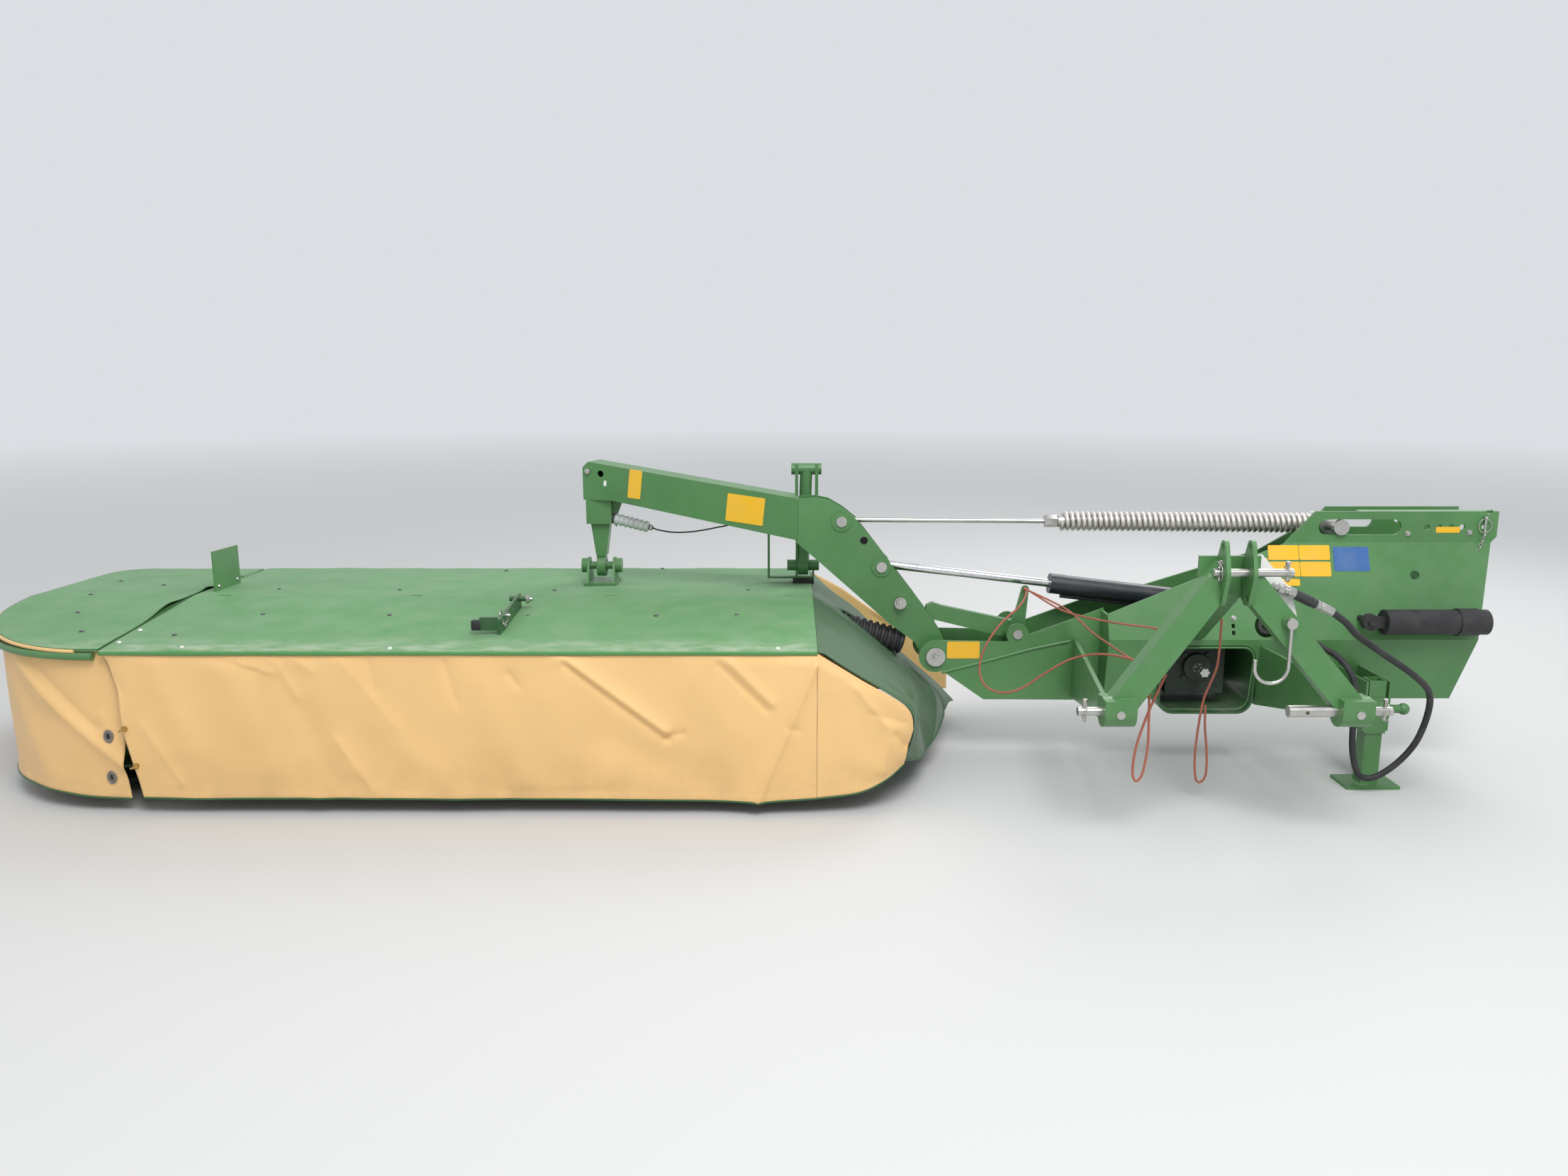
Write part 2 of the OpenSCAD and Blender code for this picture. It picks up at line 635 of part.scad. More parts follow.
// Gooseneck and carrying arm
neck_y = neck_w / 2;
lock_bolt = [444, 0, 593];
module neck_outline() {
    difference() {
        union() {
            polygon([[47, 990], [120, 994], [170, 984], [225, 952], [276, 911], [342, 826], [496, 627],
                [590, 500],
                [pivot_x + 55, pivot_z + 20], [pivot_x - 10, pivot_z - 54], [500, 440], [405, 510],
                    [140, 745], [44, 828]]);
            translate([pivot_x, pivot_z]) circle(56);
        }
        translate([pivot_x, pivot_z]) circle(d = pivot_pin_d + 2 * fit);
        translate([303, 833]) circle(d = 30);
    }
}
module gooseneck() {
    color(green) placed() {
        difference() {
            union() {
                for (s = [-1, 1]) xz(s < 0 ? -neck_y : neck_y - neck_t, s < 0 ? -neck_y + neck_t : neck_y)
                    neck_outline();
                // Spacer plates between the two sides
                translate([100, 0, 850]) rotate([0, 40, 0]) translate([-50, -neck_y + 2, -5])
                    cube([100, neck_w - 4, 10]);
                // End plate where the arm is welded on
                translate([44, -neck_y, 826]) cube([12, neck_w, 164]);
                for (c = [rod_eye, neck_spring], s = [-1, 1])
                    bar_y([c.x, s < 0 ? -neck_y - 5 : neck_y - 1, c.z], 6, 74);
            }
        }
    }
}
module boom_pins() {
    color(steel) placed() {
        for (c = [rod_eye, neck_spring], s = [-1, 1])
            bar_y([c.x, s < 0 ? -neck_y - 12 : neck_y + 5 + seat, c.z], 7 - seat, 40);
        for (s = [-1, 1]) bar_y([lock_bolt.x, s < 0 ? -neck_y - 20 : neck_y + seat, lock_bolt.z],
            20 - seat, 46);
    }
}
arm_root = [44 - seat, 0, 917];
ball = [pivot_x - reach, 215, 691];
arm_tip_top_z = 1112;
arm_tip_low_z = arm_tip_top_z - 150;
arm_turn = atan2(ball.y, arm_root.x - ball.x);
arm_plan_len = (arm_root.x - ball.x) / cos(arm_turn) + 46;
module carrying_arm() {
    color(green) placed() difference() {
        translate([arm_root.x, arm_root.y, 0]) rotate([0, 0, -arm_turn]) difference() {
            xz(-arm_w / 2, arm_w / 2) polygon([[30, arm_root.z + arm_h / 2 - 4],
                [-arm_plan_len + 24, arm_tip_top_z],
                [-arm_plan_len, arm_tip_top_z - 22], [-arm_plan_len, arm_tip_low_z],
                    [-arm_plan_len + 118, arm_tip_low_z],
                [30, arm_root.z - arm_h / 2 - 5]]);
            // Hollow section
            xz(-arm_w / 2 + 8, arm_w / 2 - 8) polygon([[40, arm_root.z + arm_h / 2 - 14],
                [-arm_plan_len + 26, arm_tip_top_z - 10],
                [-arm_plan_len + 10, arm_tip_top_z - 28], [-arm_plan_len + 10, arm_tip_low_z + 8],
                [-arm_plan_len + 118, arm_tip_low_z + 8], [40, arm_root.z - arm_h / 2 + 5]]);
            bar_y([-arm_plan_len + 76, -arm_w / 2 - 1, arm_tip_top_z - 46], 10, 26);
        }
        translate([arm_root.x, -300, 0]) cube([300, 600, 1500]);
    }
}
eye_w = 34;
eye_bore = 48;
module arm_hanger() {
    color(green) placed() {
        translate([ball.x, ball.y, 0]) {
            translate([-50, -52, arm_tip_low_z - 96]) cube([100, 104, 96 - seat]);
            // Tapered neck down to the eye
            difference() {
                union() {
                    xz(-32, 32) polygon([[-36, arm_tip_low_z - 95], [40, arm_tip_low_z - 95], [22, 735],
                        [-18, 735]]);
                    rotate([0, 90, 0]) translate([-ball.z, 0, -eye_w / 2]) cylinder(d = 86, h = eye_w);
                    translate([-eye_w / 2, -26, ball.z + 20]) cube([eye_w, 52, 50]);
                }
                rotate([0, 90, 0]) translate([-ball.z, 0, -60]) cylinder(d = eye_bore, h = 120);
            }
            // Lug for the small damper
            translate([0, 0, arm_tip_low_z]) xz(-24, -14)
                polygon([[50 - 1, -82], [50 - 1, -7], [92, -7], [70, -62], [66, -112], [49, -94]]);
        }
    }
}
link_y = 225;
stirrup_z = 637;
link_top = [89, link_y, 1079];
link_foot = [77, link_y, 690];
module stop_link() {
    color(green) placed() {
        // Carrier from the rear side of the arm
        translate([50, neck_y + seat, 905]) cube([98, 12, 80]);
        for (x = [arm_root.x + 0.6, 124]) translate([x, neck_y + 2, 900]) cube([12, link_y - neck_y + 24, 60]);
        for (x = [arm_root.x + 0.6, 124]) translate([x, link_y - 24, 940]) cube([12, 50, link_top.z - 920]);
        bar_x([link_top.x - 60, link_y, link_top.z], 120, 46);
        rod(link_top, link_foot, 48);
        bar_x([link_foot.x - 64, link_y, link_foot.z], 128, 44);
        bar_x([link_foot.x - 20, link_y, link_foot.z], 40, 78);
        // Stirrup below the arm
        translate([-66, link_y - 14, stirrup_z]) cube([9, 28, 260]);
        translate([47, link_y - 14, stirrup_z]) cube([9, 28, 300]);
        translate([-66, link_y - 14, stirrup_z]) cube([188, 28, 8]);
        translate([114, link_y - 14, stirrup_z]) cube([8, 28, 60]);
        translate([-66, 92.9, 866]) cube([9, link_y + 14 - 92.9, 60]);
    }
}
module stop_buffer() {
    low = cover_top(link_y - 38) + seat;
    color(black) placed() translate([36, link_y - 38, low]) cube([84, 76, stirrup_z - low - seat]);
}

// Mower bar with its rotors
rotor_y = -375;
// The row of rotors is centred under the cover
rotor_row_x = -1307.5;
rotor_x0 = rotor_row_x - rotor_pitch * (rotor_count - 1) / 2;
bar_z0 = skid_t;
bar_top = bar_z0 + bar_h;
hub_d = 40;
function rotor_x(i) = rotor_x0 + i * rotor_pitch;
module cutter_bar() {
    x1 = rotor_x(rotor_count - 1);
    y0 = rotor_y - bar_depth * 0.42;
    y1 = y0 + bar_depth;
    color([0.15, 0.36, 0.16]) placed() difference() {
        union() {
            yz(rotor_x0 - 120, x1 + 330) polygon([[y0, bar_z0 + 14], [y0 + 26, bar_z0], [y1 - 40, bar_z0],
                [y1, bar_z0 + 16], [y1, bar_top - 8], [y1 - 16, bar_top], [y0 + 60, bar_top],
                    [y0 + 8, bar_top - 18]]);
            for (i = [0 : rotor_count - 1]) bar_z([rotor_x(i), rotor_y, bar_top - 1], 11, 118);
            // Stone guards in front of each rotor
            for (i = [0 : rotor_count - 1]) intersection() {
                bar_z([rotor_x(i), rotor_y, bar_z0 + 4], 22, 330);
                translate([rotor_x(i) - 170, rotor_y - 170, 0]) cube([340, 90, 100]);
            }
        }
        for (i = [0 : rotor_count - 1]) bar_z([rotor_x(i), rotor_y, bar_top - 24], 60, hub_d + 2 * fit);
    }
}
module skids() {
    w = rotor_pitch - 70;
    y0 = rotor_y - bar_depth * 0.42;
    color([0.18, 0.18, 0.17]) placed() for (i = [0 : rotor_count - 1]) translate([rotor_x(i) - w / 2, 0, 0])
        yz(0, w) polygon([[y0 + 30, 0], [y0 + bar_depth + 60, 0], [y0 + bar_depth + 70, 10],
            [y0 + bar_depth + 10, skid_t - seat], [y0 + 26, skid_t - seat], [y0 - 2, skid_t + 3],
                [y0 - 16, skid_t + 3],
            [y0 - 19, skid_t - 3], [y0 + 2, 8]]);
}
blade_w = 46;
module rotor(i) {
    drum = i == 0 || i == rotor_count - 1;
    phase = 90 * (i % 2);
    color(drum ? dark_green : [0.22, 0.23, 0.22]) placed() translate([rotor_x(i), rotor_y, 0]) {
        translate([0, 0, bar_top - 20]) cylinder(d = hub_d, h = 60);
        rotate([0, 0, phase]) {
            intersection() {
                translate([0, 0, blade_z + 7]) cylinder(r1 = 206, r2 = 92, h = 34);
                xy(0, 200) polygon([[-206, -60], [-150, -125], [0, -156], [150, -125], [206, -60],
                    [206, 60], [150, 125], [0, 156], [-150, 125], [-206, 60]]);
            }
            for (s = [-1, 1]) {
                x0 = s < 0 ? -blade_r : blade_r - 100;
                translate([x0, -blade_w / 2, blade_z]) cube([100, blade_w, 5]);
                bar_z([s * (blade_r - 72), 0, blade_z - 3], 12, 34);
            }
        }
        if (drum) rotate_extrude() polygon([[0, blade_z + 36], [120, blade_z + 36], [96, 180], [88, 300],
            [112, 322],
            [112, 330], [0, 330]]);
    }
}
module rotor_1() { rotor(0); }
module rotor_2() { rotor(1); }
module rotor_3() { rotor(2); }
module rotor_4() { rotor(3); }
module rotor_5() { rotor(4); }
module rotor_6() { rotor(5); }

// Frame of the mower unit
crease_y = -75;
flap_front_y = crease_y - flap_depth;
rear_y = crease_y + rear_depth;
seam_x = -2250;
cover_right_x = 110;
under = cover_z - cover_t;
beam_y = 90;
hinge_d = 12;
hinge_z = cover_z - 6;
module mower_frame() {
    bar_rear = rotor_y + bar_depth * 0.58;
    color(green) placed() difference() {
        union() {
            // Main tube along the covers
            difference() {
                translate([-2215, beam_y, 440]) cube([2340, 110, 110]);
                translate([-2216, beam_y + 8, 448]) cube([2342, 94, 94]);
            }
            // Uprights from the bar, and ribs under the covers
            for (x = [-2200, 100]) xz_plate(x, bar_rear);
            for (x = [-2215, -1480, -740, 40]) {
                translate([x, crease_y + 10, 552]) cube([30, rear_depth - 30, 24]);
                translate([x, crease_y + 10, 550]) cube([30, 30, under - seat - 562]);
                translate([x, rear_y - 50, 550]) cube([30, 30, cover_top(rear_y - 20) - cover_t - seat - 550]);
            }
            // Rod of the front guard's hinge
            bar_x([seam_x + 16, crease_y, hinge_z], cover_right_x - seam_x - 20, hinge_d);
            for (x = [-2215, -1480, -740, 40]) translate([x, crease_y - 3, 560]) cube([30, 14, hinge_z - 560]);
            // Pin carrier of the side guard
            for (y = [60, 420]) translate([seam_x - 4, y, 556]) {
                cube([40, 30, 20]);
                cube([20, 30, hinge_z - 560]);
            }
            bar_y([seam_x, 20, hinge_z], 460, hinge_d);
        }
    }
}
module xz_plate(x, bar_rear) {
    yz(x, x + 10) polygon([[bar_rear + seat, bar_z0 + 8], [bar_rear + 14, bar_top + 10], [beam_y + 110, 440],
        [beam_y + 110, 552], [beam_y, 552], [beam_y, 430], [bar_rear - 36, bar_top + 30],
            [bar_rear - 36, bar_top + seat],
        [bar_rear + seat, bar_top + seat]]);
}
boot_from = [190, 0, 500];
boot_to = [465, 0, 425];
boot_r = 50;
module drive_head() {
    x0 = rotor_x(rotor_count - 1);
    color([0.16, 0.17, 0.17]) placed() {
        bar_z([x0, rotor_y, 336], 110, 116);
        translate([x0 - 60, rotor_y - 60, 440]) cube([120 - x0 + 60, beam_y - seat - rotor_y + 60, 105]);
        along(boot_from, boot_to) translate([0, 0, -86]) cylinder(d = 106, h = 86 - seat);
    }
}
module drive_boot() {
    ribs = 11;
    length = norm(boot_to - boot_from);
    step = length / ribs;
    color(black) placed() along(boot_from, boot_to) rotate_extrude() polygon(concat(
        [[32, length], [32, 0]],
        [for (k = [0 : ribs - 1], p = [[boot_r - 9, 0.1], [boot_r, 0.35], [boot_r, 0.65], [boot_r - 9, 0.9]])
            [p[0], (k + p[1]) * step]]));
}
cheek_gap = 92;
module ball_bracket() {
    color(green) placed() translate([ball.x, ball.y, 0]) {
        difference() {
            for (s = [-1, 1]) yz(s < 0 ? -cheek_gap / 2 - 10 : cheek_gap / 2,
                s < 0 ? -cheek_gap / 2 : cheek_gap / 2 + 10)
                hull() {
                    translate([0, ball.z]) circle(34);
                    translate([-70, cover_z + seat]) square([140, 8]);
                }
            bar_x([-80, 0, ball.z], 160, 30 + 2 * fit);
        }
        translate([-cheek_gap / 2 - 20, -74, cover_z + seat]) cube([cheek_gap + 40, 148, 8]);
        bar_x([-cheek_gap / 2 - 28, 0, ball.z], cheek_gap + 56, 30);
        for (s = [-1, 1]) bar_x([s < 0 ? -cheek_gap / 2 - 34 : cheek_gap / 2 + 10 + seat, 0, ball.z],
            24 - seat, 58);
        // Ball as a turned shape on the pin
        translate([0, 0, ball.z]) rotate([0, 90, 0]) rotate_extrude() intersection() {
            circle(d = eye_bore - 2 * seat);
            translate([0, -20]) square([40, 40]);
        }
    }
}

// Covers and curtains
front_z = cover_z - cover_drop;
function cover_top(y) = y < crease_y ? cover_z - cover_drop * (crease_y - y) / flap_depth
    : cover_z - 10 * (y - crease_y) / rear_depth;
module cover_band(y0, y1) {
    mid = y0 < crease_y && y1 > crease_y ? [crease_y] : [];
    ys = concat([y0], mid, [y1]);
    polygon(concat([for (y = ys) [y, cover_top(y)]],
        [for (k = [len(ys) - 1 : -1 : 0]) [ys[k], cover_top(ys[k]) - cover_t]]));
}
hinge_gap = 12;
module rear_cover() {
    color(green) placed() {
        yz(seam_x + 18, cover_right_x) cover_band(crease_y + hinge_gap, rear_y);
        // Standing plate beside the seam
        yz(-2206, -2200) polygon([[0, cover_z - 2], [212, cover_z - 5], [212, cover_z + 152],
            [0, cover_z + 158]]);
    }
}
module rear_curtain() {
    low_z = curtain_gap + 20;
    color(cream) placed() xz(rear_y - curtain_t, rear_y) polygon([[seam_x + hinge_gap, low_z],
        [715, low_z], [722, 150],
        [560, 310], [330, 470], [cover_right_x, cover_top(rear_y) - cover_t - seat],
        [seam_x + hinge_gap, cover_top(rear_y) - cover_t - seat]]);
}
// Sloping end cover: rows from its top edge down to the hem, points from front to rear
edge_x = cover_right_x + seat;
back_y = rear_y - curtain_t - seat;
front_corner_y = flap_front_y + 3;
apron_rows = [
    [for (y = [front_corner_y, -560, -330, crease_y, 150, 380, back_y]) [edge_x, y, cover_top(y) - 4]],
    [[250, front_corner_y, 474], [255, -560, 494], [268, -330, 508], [284, -60, 506], [290, 110, 506],
        [280, 350, 494], [250, back_y, 470]],
    [[407, -714, 375], [412, -560, 380], [424, -340, 372], [450, -70, 350], [470, 110, 340],
        [440, 360, 330], [380, back_y, 330]],
    [[436, -690, 290], [462, -540, 275], [500, -340, 250], [585, -60, 228], [622, 130, 202],
        [590, 370, 196], [480, back_y, 200]],
    [[412, -640, 165], [480, -480, 115], [533, -320, 100], [612, -100, 140], [660, 120, 140],
        [700, 335, 95], [560, back_y, 90]]];
function turned(grid) = [for (j = [0 : len(grid[0]) - 1]) [for (r = grid) r[j]]];
apron_grid = turned([for (c = turned([for (r = apron_rows) smooth(r, 2)])) smooth(c, 2)]);
function apron_step(i) = [-5 * min(1, i / 3), 0, -6 + 2 * min(1, i / 3)];
module end_apron() {
    color(green) placed() difference() {
        skin(apron_grid, [for (i = [0 : len(apron_grid) - 1]) apron_step(i)]);
        // Hole for the drive boot
        along(boot_from, boot_to) translate([0, 0, 25]) cylinder(r = boot_r + 9, h = 250);
    }
}
end_hem = smooth([[edge_x, front_corner_y, 58], [250, -708, 72], [340, -680, 105], [408, -648, 152]], 2);
module end_curtain() {
    top = [for (i = [0 : 6]) apron_grid[i][0] + apron_step(i) + [0, 0, -seat]];
    color(cream) placed() skin([for (k = [0 : 4]) [for (i = [0 : 6]) top[i] + (end_hem[i] - top[i]) * k / 4]],
        [for (k = [0 : 4]) [0, curtain_t - 0.5, 0]]);
}
module flap_knuckles(xs) {
    for (x = xs) difference() {
        union() {
            bar_x([x, crease_y, hinge_z], 40, hinge_d + 8);
            translate([x, crease_y - 30, hinge_z - 6]) cube([40, 30, 8]);
        }
        bar_x([x - 1, crease_y, hinge_z], 42, hinge_d + 2 * seat);
    }
}
flap_right_x = cover_right_x - 6;
module front_flap() {
    color(green) placed() {
        yz(seam_x + hinge_gap, flap_right_x) cover_band(flap_front_y, crease_y - hinge_gap);
        flap_knuckles([-2150, -1420, -680, 0]);
        // Stiffening tube behind the front edge
        bar_x([seam_x + hinge_gap + 4, flap_front_y + 40, front_z - 14], flap_right_x - seam_x - 30, 26);
    }
}
module front_curtain() {
    color(cream) placed() translate([seam_x + hinge_gap, flap_front_y, curtain_gap])
        cube([flap_right_x - seam_x - hinge_gap, curtain_t, front_z - cover_t - curtain_gap - seat]);
}
module flap_bracket() {
    color(dark_green) placed() {
        translate([-976, -560, cover_top(-560) + seat]) rotate([atan(cover_drop / flap_depth), 0, 0]) {
            cube([10, 330, 56]);
            translate([-60, 0, 18]) cube([61, 10, 46]);
            bar_x([-24, 300, 44], 60, 20);
        }
    }
}
module end_plan(r) {
    y_arc = flap_front_y + end_r;
    x_arc = left_end_x + end_r;
    corner = 130;
    intersection() {
        union() {
            translate([x_arc, y_arc]) circle(r - 0);
            translate([x_arc - r, y_arc]) square([r + 200, rear_y - corner - y_arc]);
            translate([x_arc - r + corner, y_arc]) square([r + 100, rear_y - y_arc - (end_r - r)]);
            translate([x_arc - r + corner, rear_y - corner - (end_r - r)]) circle(corner);
        }
        translate([left_end_x - 10, flap_front_y - 10]) square([seam_x - hinge_gap - left_end_x + 10,
            rear_y - flap_front_y + 20]);
    }
}
module side_flap() {
    color(green) placed() {
        intersection() {
            xy(500, 700) end_plan(end_r - 14);
            yz(left_end_x - 10, seam_x) cover_band(flap_front_y + 14, rear_y);
        }
        for (y = [120, 330]) difference() {
            union() {
                bar_y([seam_x, y, hinge_z], 40, hinge_d + 8);
                translate([seam_x - 30, y, hinge_z - 6]) cube([30, 40, 8]);
            }
            bar_y([seam_x, y - 1, hinge_z], 42, hinge_d + 2 * seat);
        }
    }
}
bow_d = 26;
bow_z = 545;
module bow_tube() {
    y_arc = flap_front_y + end_r;
    x_arc = left_end_x + end_r;
    r = end_r - bow_d / 2;
    color(green) placed() translate([0, 0, bow_z]) {
        translate([x_arc, y_arc, 0]) rotate([0, 0, 180]) rotate_extrude(angle = 90) translate([r, 0])
            circle(d = bow_d);
        bar_y([x_arc - r, y_arc, 0], 420, bow_d);
    }
    // Posts that carry the bow below the side guard
    color(green) placed() for (a = [184, 215, 245]) {
        x = x_arc + (r - 4) * cos(a);
        y = y_arc + (r - 4) * sin(a);
        bar_z([x, y, bow_z], cover_top(y) - cover_t - 0.8 - seat - bow_z, 14);
    }
}
module side_curtain() {
    y_arc = flap_front_y + end_r;
    x_arc = left_end_x + end_r;
    r = end_r - bow_d - seat - curtain_t;
    h = bow_z + 4 - curtain_gap;
    color(cream) placed() translate([0, 0, curtain_gap]) {
        translate([x_arc, y_arc, 0]) rotate([0, 0, 180]) rotate_extrude(angle = 90) translate([r, 0])
            square([curtain_t, h]);
        translate([x_arc - r - curtain_t, y_arc - 1, 0]) cube([curtain_t, rear_y - y_arc - 130, h]);
        translate([x_arc - 1, y_arc - r - curtain_t, 0]) cube([seam_x - 20 - x_arc, curtain_t, h]);
    }
}

// Parking stand
stand_x = 2100;
stand_y = -425;
sleeve_t = 6;
module stand_sleeve() {
    out = stand_w + 2 * sleeve_t + 2;
    color(green) placed() {
        difference() {
            translate([stand_x - out / 2, stand_y - out / 2, 200]) cube([out, out, 130]);
            translate([stand_x - stand_w / 2 - seat, stand_y - stand_w / 2 - seat, 190])
                cube([stand_w + 2 * seat, stand_w + 2 * seat, 200]);
        }
        for (s = [-1, 1]) yz(stand_x + s * (out / 2 + 4) - 4, stand_x + s * (out / 2 + 4) + 4)
            polygon([[stand_y - out / 2, 210], [belly_face(262) - 8, 210], [belly_face(262), 262],
                [belly_face(390), 390], [stand_y - out / 2, 390]]);
        bar_x([stand_x + out / 2, stand_y, 280], 60, 30);
    }
    color(black) placed() translate([stand_x + out / 2 + 76, stand_y, 280]) sphere(d = 42);
}
module stand_leg() {
    foot_t = 12;
    color(green) placed() {
        difference() {
            translate([stand_x - stand_w / 2, stand_y - stand_w / 2, foot_t - 1]) cube([stand_w, stand_w, 380]);
            translate([stand_x - stand_w / 2 + 6, stand_y - stand_w / 2 + 6, foot_t + 6])
                cube([stand_w - 12, stand_w - 12, 380]);
        }
        translate([stand_x - foot_w / 2, stand_y - 65, 0]) cube([foot_w, 130, foot_t]);
    }
}

// Fittings on the frame
module hose_holder() {
    color([0.92, 0.92, 0.90]) placed() {
        difference() {
            xz(mast_y + 72 + seat, mast_y + 76 + seat) polygon([[1446, 905], [1500, 905], [1600, 790],
                [1640, 650], [1560, 690], [1446, 800]]);
            for (x = [1535, 1585]) translate([x, 0, 720]) rotate([90, 0, 0])
                cylinder(d = 22, h = 2000, center = true);
        }
    }
}
module hose_hook() {
    hx = hose_hook_x;
    hy = hose_hook_y - 14;
    color(steel) placed() {
        bar_y([hx, hy - 6, 711], 20 - seat, 34);
        bar_z([hx, hy, 575], 130, 11);
        translate([hx - 52, hy, 575]) rotate([90, 0, 0]) rotate([0, 0, 180]) rotate_extrude(angle = 180)
            translate([52, 0]) circle(d = 11);
        bar_z([hx - 104, hy, 575], 22, 11);
    }
}
module buffer_cylinder() {
    y0 = belly_y - 52;
    color(black) placed() {
        bar_x([2178, y0, 569], 373, 92);
        bar_x([2440, y0, 569], 76, 100);
        difference() {
            union() {
                bar_y([2130, y0 - 14, 569], 28, 60);
                translate([2130, y0 - 14, 549]) cube([56, 28, 40]);
            }
            bar_y([2130, y0 - 30, 569], 60, 22 + 2 * fit);
        }
    }
    color(steel) placed() {
        bar_y([2130, y0 - 24, 569], belly_face(557) - y0 + 24, 22);
        bar_y([2480, y0, 569], belly_face(557) - y0, 22);
    }
}

// Cords, each along its own hand-chosen points
hose_route = [[1685.5, -852, 743.8], [1703.1, -852.4, 735.5], [1721.2, -852.7, 727], [1790, -816, 682],
    [1847, -778, 634], [1940, -752, 572], [2038, -725, 510],
    [2120, -680, 455], [2180, -630, 405], [2212, -590, 345], [2217, -560, 262], [2195, -548, 185],
        [2142, -540, 112],
    [2075, -532, 62], [2025, -525, 70], [2003, -515, 140], [1998, -508, 226], [2003, -500, 336],
        [1990, -480, 420],
    [1960, -430, 472], [1915, -375, 500], [1860, -320, 518], [1815, -275, 533], [1786, -235, 539],
        [1783, -205, 540]];
trip_rope_route = [[919, -72.5, 648], [919, -92, 648], [905, -140, 628], [870, -190, 600],
    [800, -225, 545], [745, -250, 470], [720, -270, 395],
    [735, -295, 335], [790, -325, 312], [860, -352, 335], [930, -382, 395], [1010, -430, 462],
        [1080, -520, 505],
    [1140, -640, 525], [1175, -760, 530], [1172, -850, 520], [1150, -900, 480], [1148, -915, 400],
        [1148, -920, 300],
    [1135, -922, 215], [1116, -922, 192], [1104, -922, 225], [1112, -922, 310], [1140, -915, 400],
        [1172, -900, 470],
    [1205, -880, 530]];
spare_rope_route = [[1488, -566, 640], [1487, -568, 590], [1486, -570, 540], [1480, -572, 470],
    [1458, -576, 410], [1440, -578, 356], [1428, -578, 250],
    [1424, -578, 150], [1432, -578, 75], [1450, -578, 62], [1466, -578, 90], [1464, -578, 170],
        [1452, -578, 260], [1448, -578, 340]];
module hydraulic_hose() { color(black) placed() cord(smooth(hose_route, 2), hose_d, 10); }
module trip_rope() { color(rope_red) placed() cord(smooth(trip_rope_route, 2), rope_d, 8); }
module spare_rope() { color(rope_red) placed() cord(smooth(spare_rope_route, 2), rope_d, 8); }
module hose_coupling() {
    a = [1548, -850.3, 802];
    b = [1600, -850.3, 784];
    c = [1685, -852, 744];
    color(steel) placed() {
        rod(a, b, 34);
        rod(a - 18 * unit(b - a), a + 4 * unit(b - a), 26);
    }
    color(black) placed() rod(b - 6 * unit(c - b), c, 31);
}

headstock();
top_link_bracket();
lower_link_pins();
top_link_pin();
front_plate();
rear_plate();
frame_webs();
gearbox();
drive_shaft();
input_shaft();
pivot_pins();
lock_hook();
cylinder_barrel();
cylinder_rod();
slot_pin();
relief_spring();
spring_rod();
gooseneck();
boom_pins();
carrying_arm();
arm_hanger();
stop_link();
stop_buffer();
cutter_bar();
skids();
mower_frame();
drive_head();
drive_boot();
ball_bracket();
rear_cover();
rear_curtain();
end_apron();
end_curtain();
front_flap();
front_curtain();
flap_bracket();
side_flap();
bow_tube();
side_curtain();
rotor_1();
rotor_2();
rotor_3();
rotor_4();
rotor_5();
rotor_6();
stand_sleeve();
stand_leg();
hose_holder();
hose_hook();
buffer_cylinder();
hydraulic_hose();
hose_coupling();
trip_rope();
spare_rope();
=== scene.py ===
"""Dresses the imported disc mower: finishes, cords, cloth guards, spring coils, fasteners and a studio."""

import json
import logging
import math
from collections.abc import Callable, Iterable, Sequence
from dataclasses import dataclass, field
from enum import Enum
from functools import cache

import bmesh
import bpy
from mathutils import Matrix, Vector, noise


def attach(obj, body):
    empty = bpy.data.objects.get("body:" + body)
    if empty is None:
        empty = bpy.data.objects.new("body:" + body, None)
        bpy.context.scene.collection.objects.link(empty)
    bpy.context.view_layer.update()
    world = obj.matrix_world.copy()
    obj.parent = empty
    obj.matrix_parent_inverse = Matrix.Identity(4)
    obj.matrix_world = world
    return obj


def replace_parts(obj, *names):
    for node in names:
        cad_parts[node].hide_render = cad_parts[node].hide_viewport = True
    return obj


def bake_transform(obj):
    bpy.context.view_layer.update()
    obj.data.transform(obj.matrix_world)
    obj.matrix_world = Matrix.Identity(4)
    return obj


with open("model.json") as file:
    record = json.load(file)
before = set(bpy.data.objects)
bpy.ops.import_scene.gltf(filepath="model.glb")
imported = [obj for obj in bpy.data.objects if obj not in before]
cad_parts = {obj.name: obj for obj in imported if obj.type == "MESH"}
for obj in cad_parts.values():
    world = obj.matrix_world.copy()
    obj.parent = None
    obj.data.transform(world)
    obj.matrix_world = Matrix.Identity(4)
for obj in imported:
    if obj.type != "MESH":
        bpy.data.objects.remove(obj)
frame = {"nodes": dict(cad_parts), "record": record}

LOG = logging.getLogger("disc_mower")
MM = 0.001
DRAWING_ORIGIN = Vector((0.106, 0.215, 0.0))
Colour = tuple[float, float, float]
Point = tuple[float, float, float]
Spot = tuple[float, float]
Waves = tuple[float | Point, ...]
Ring = tuple[list[bmesh.types.BMVert], list[bmesh.types.BMEdge]]


def at(x: float, y: float, z: float) -> Vector:
    """Return the row frame's point, in metres, for a point of the part's drawing in millimetres."""
    return DRAWING_ORIGIN + Vector((x, y, z)) * MM


class Axis(Enum):
    """Direction that a turned piece or a fastener points in."""

    X = (1.0, 0.0, 0.0)
    Y = (0.0, 1.0, 0.0)
    Z = (0.0, 0.0, 1.0)
    TO_TRACTOR = (0.0, -1.0, 0.0)

    @property
    def vector(self) -> Vector:
        """Return the direction as a vector."""
        return Vector(self.value)


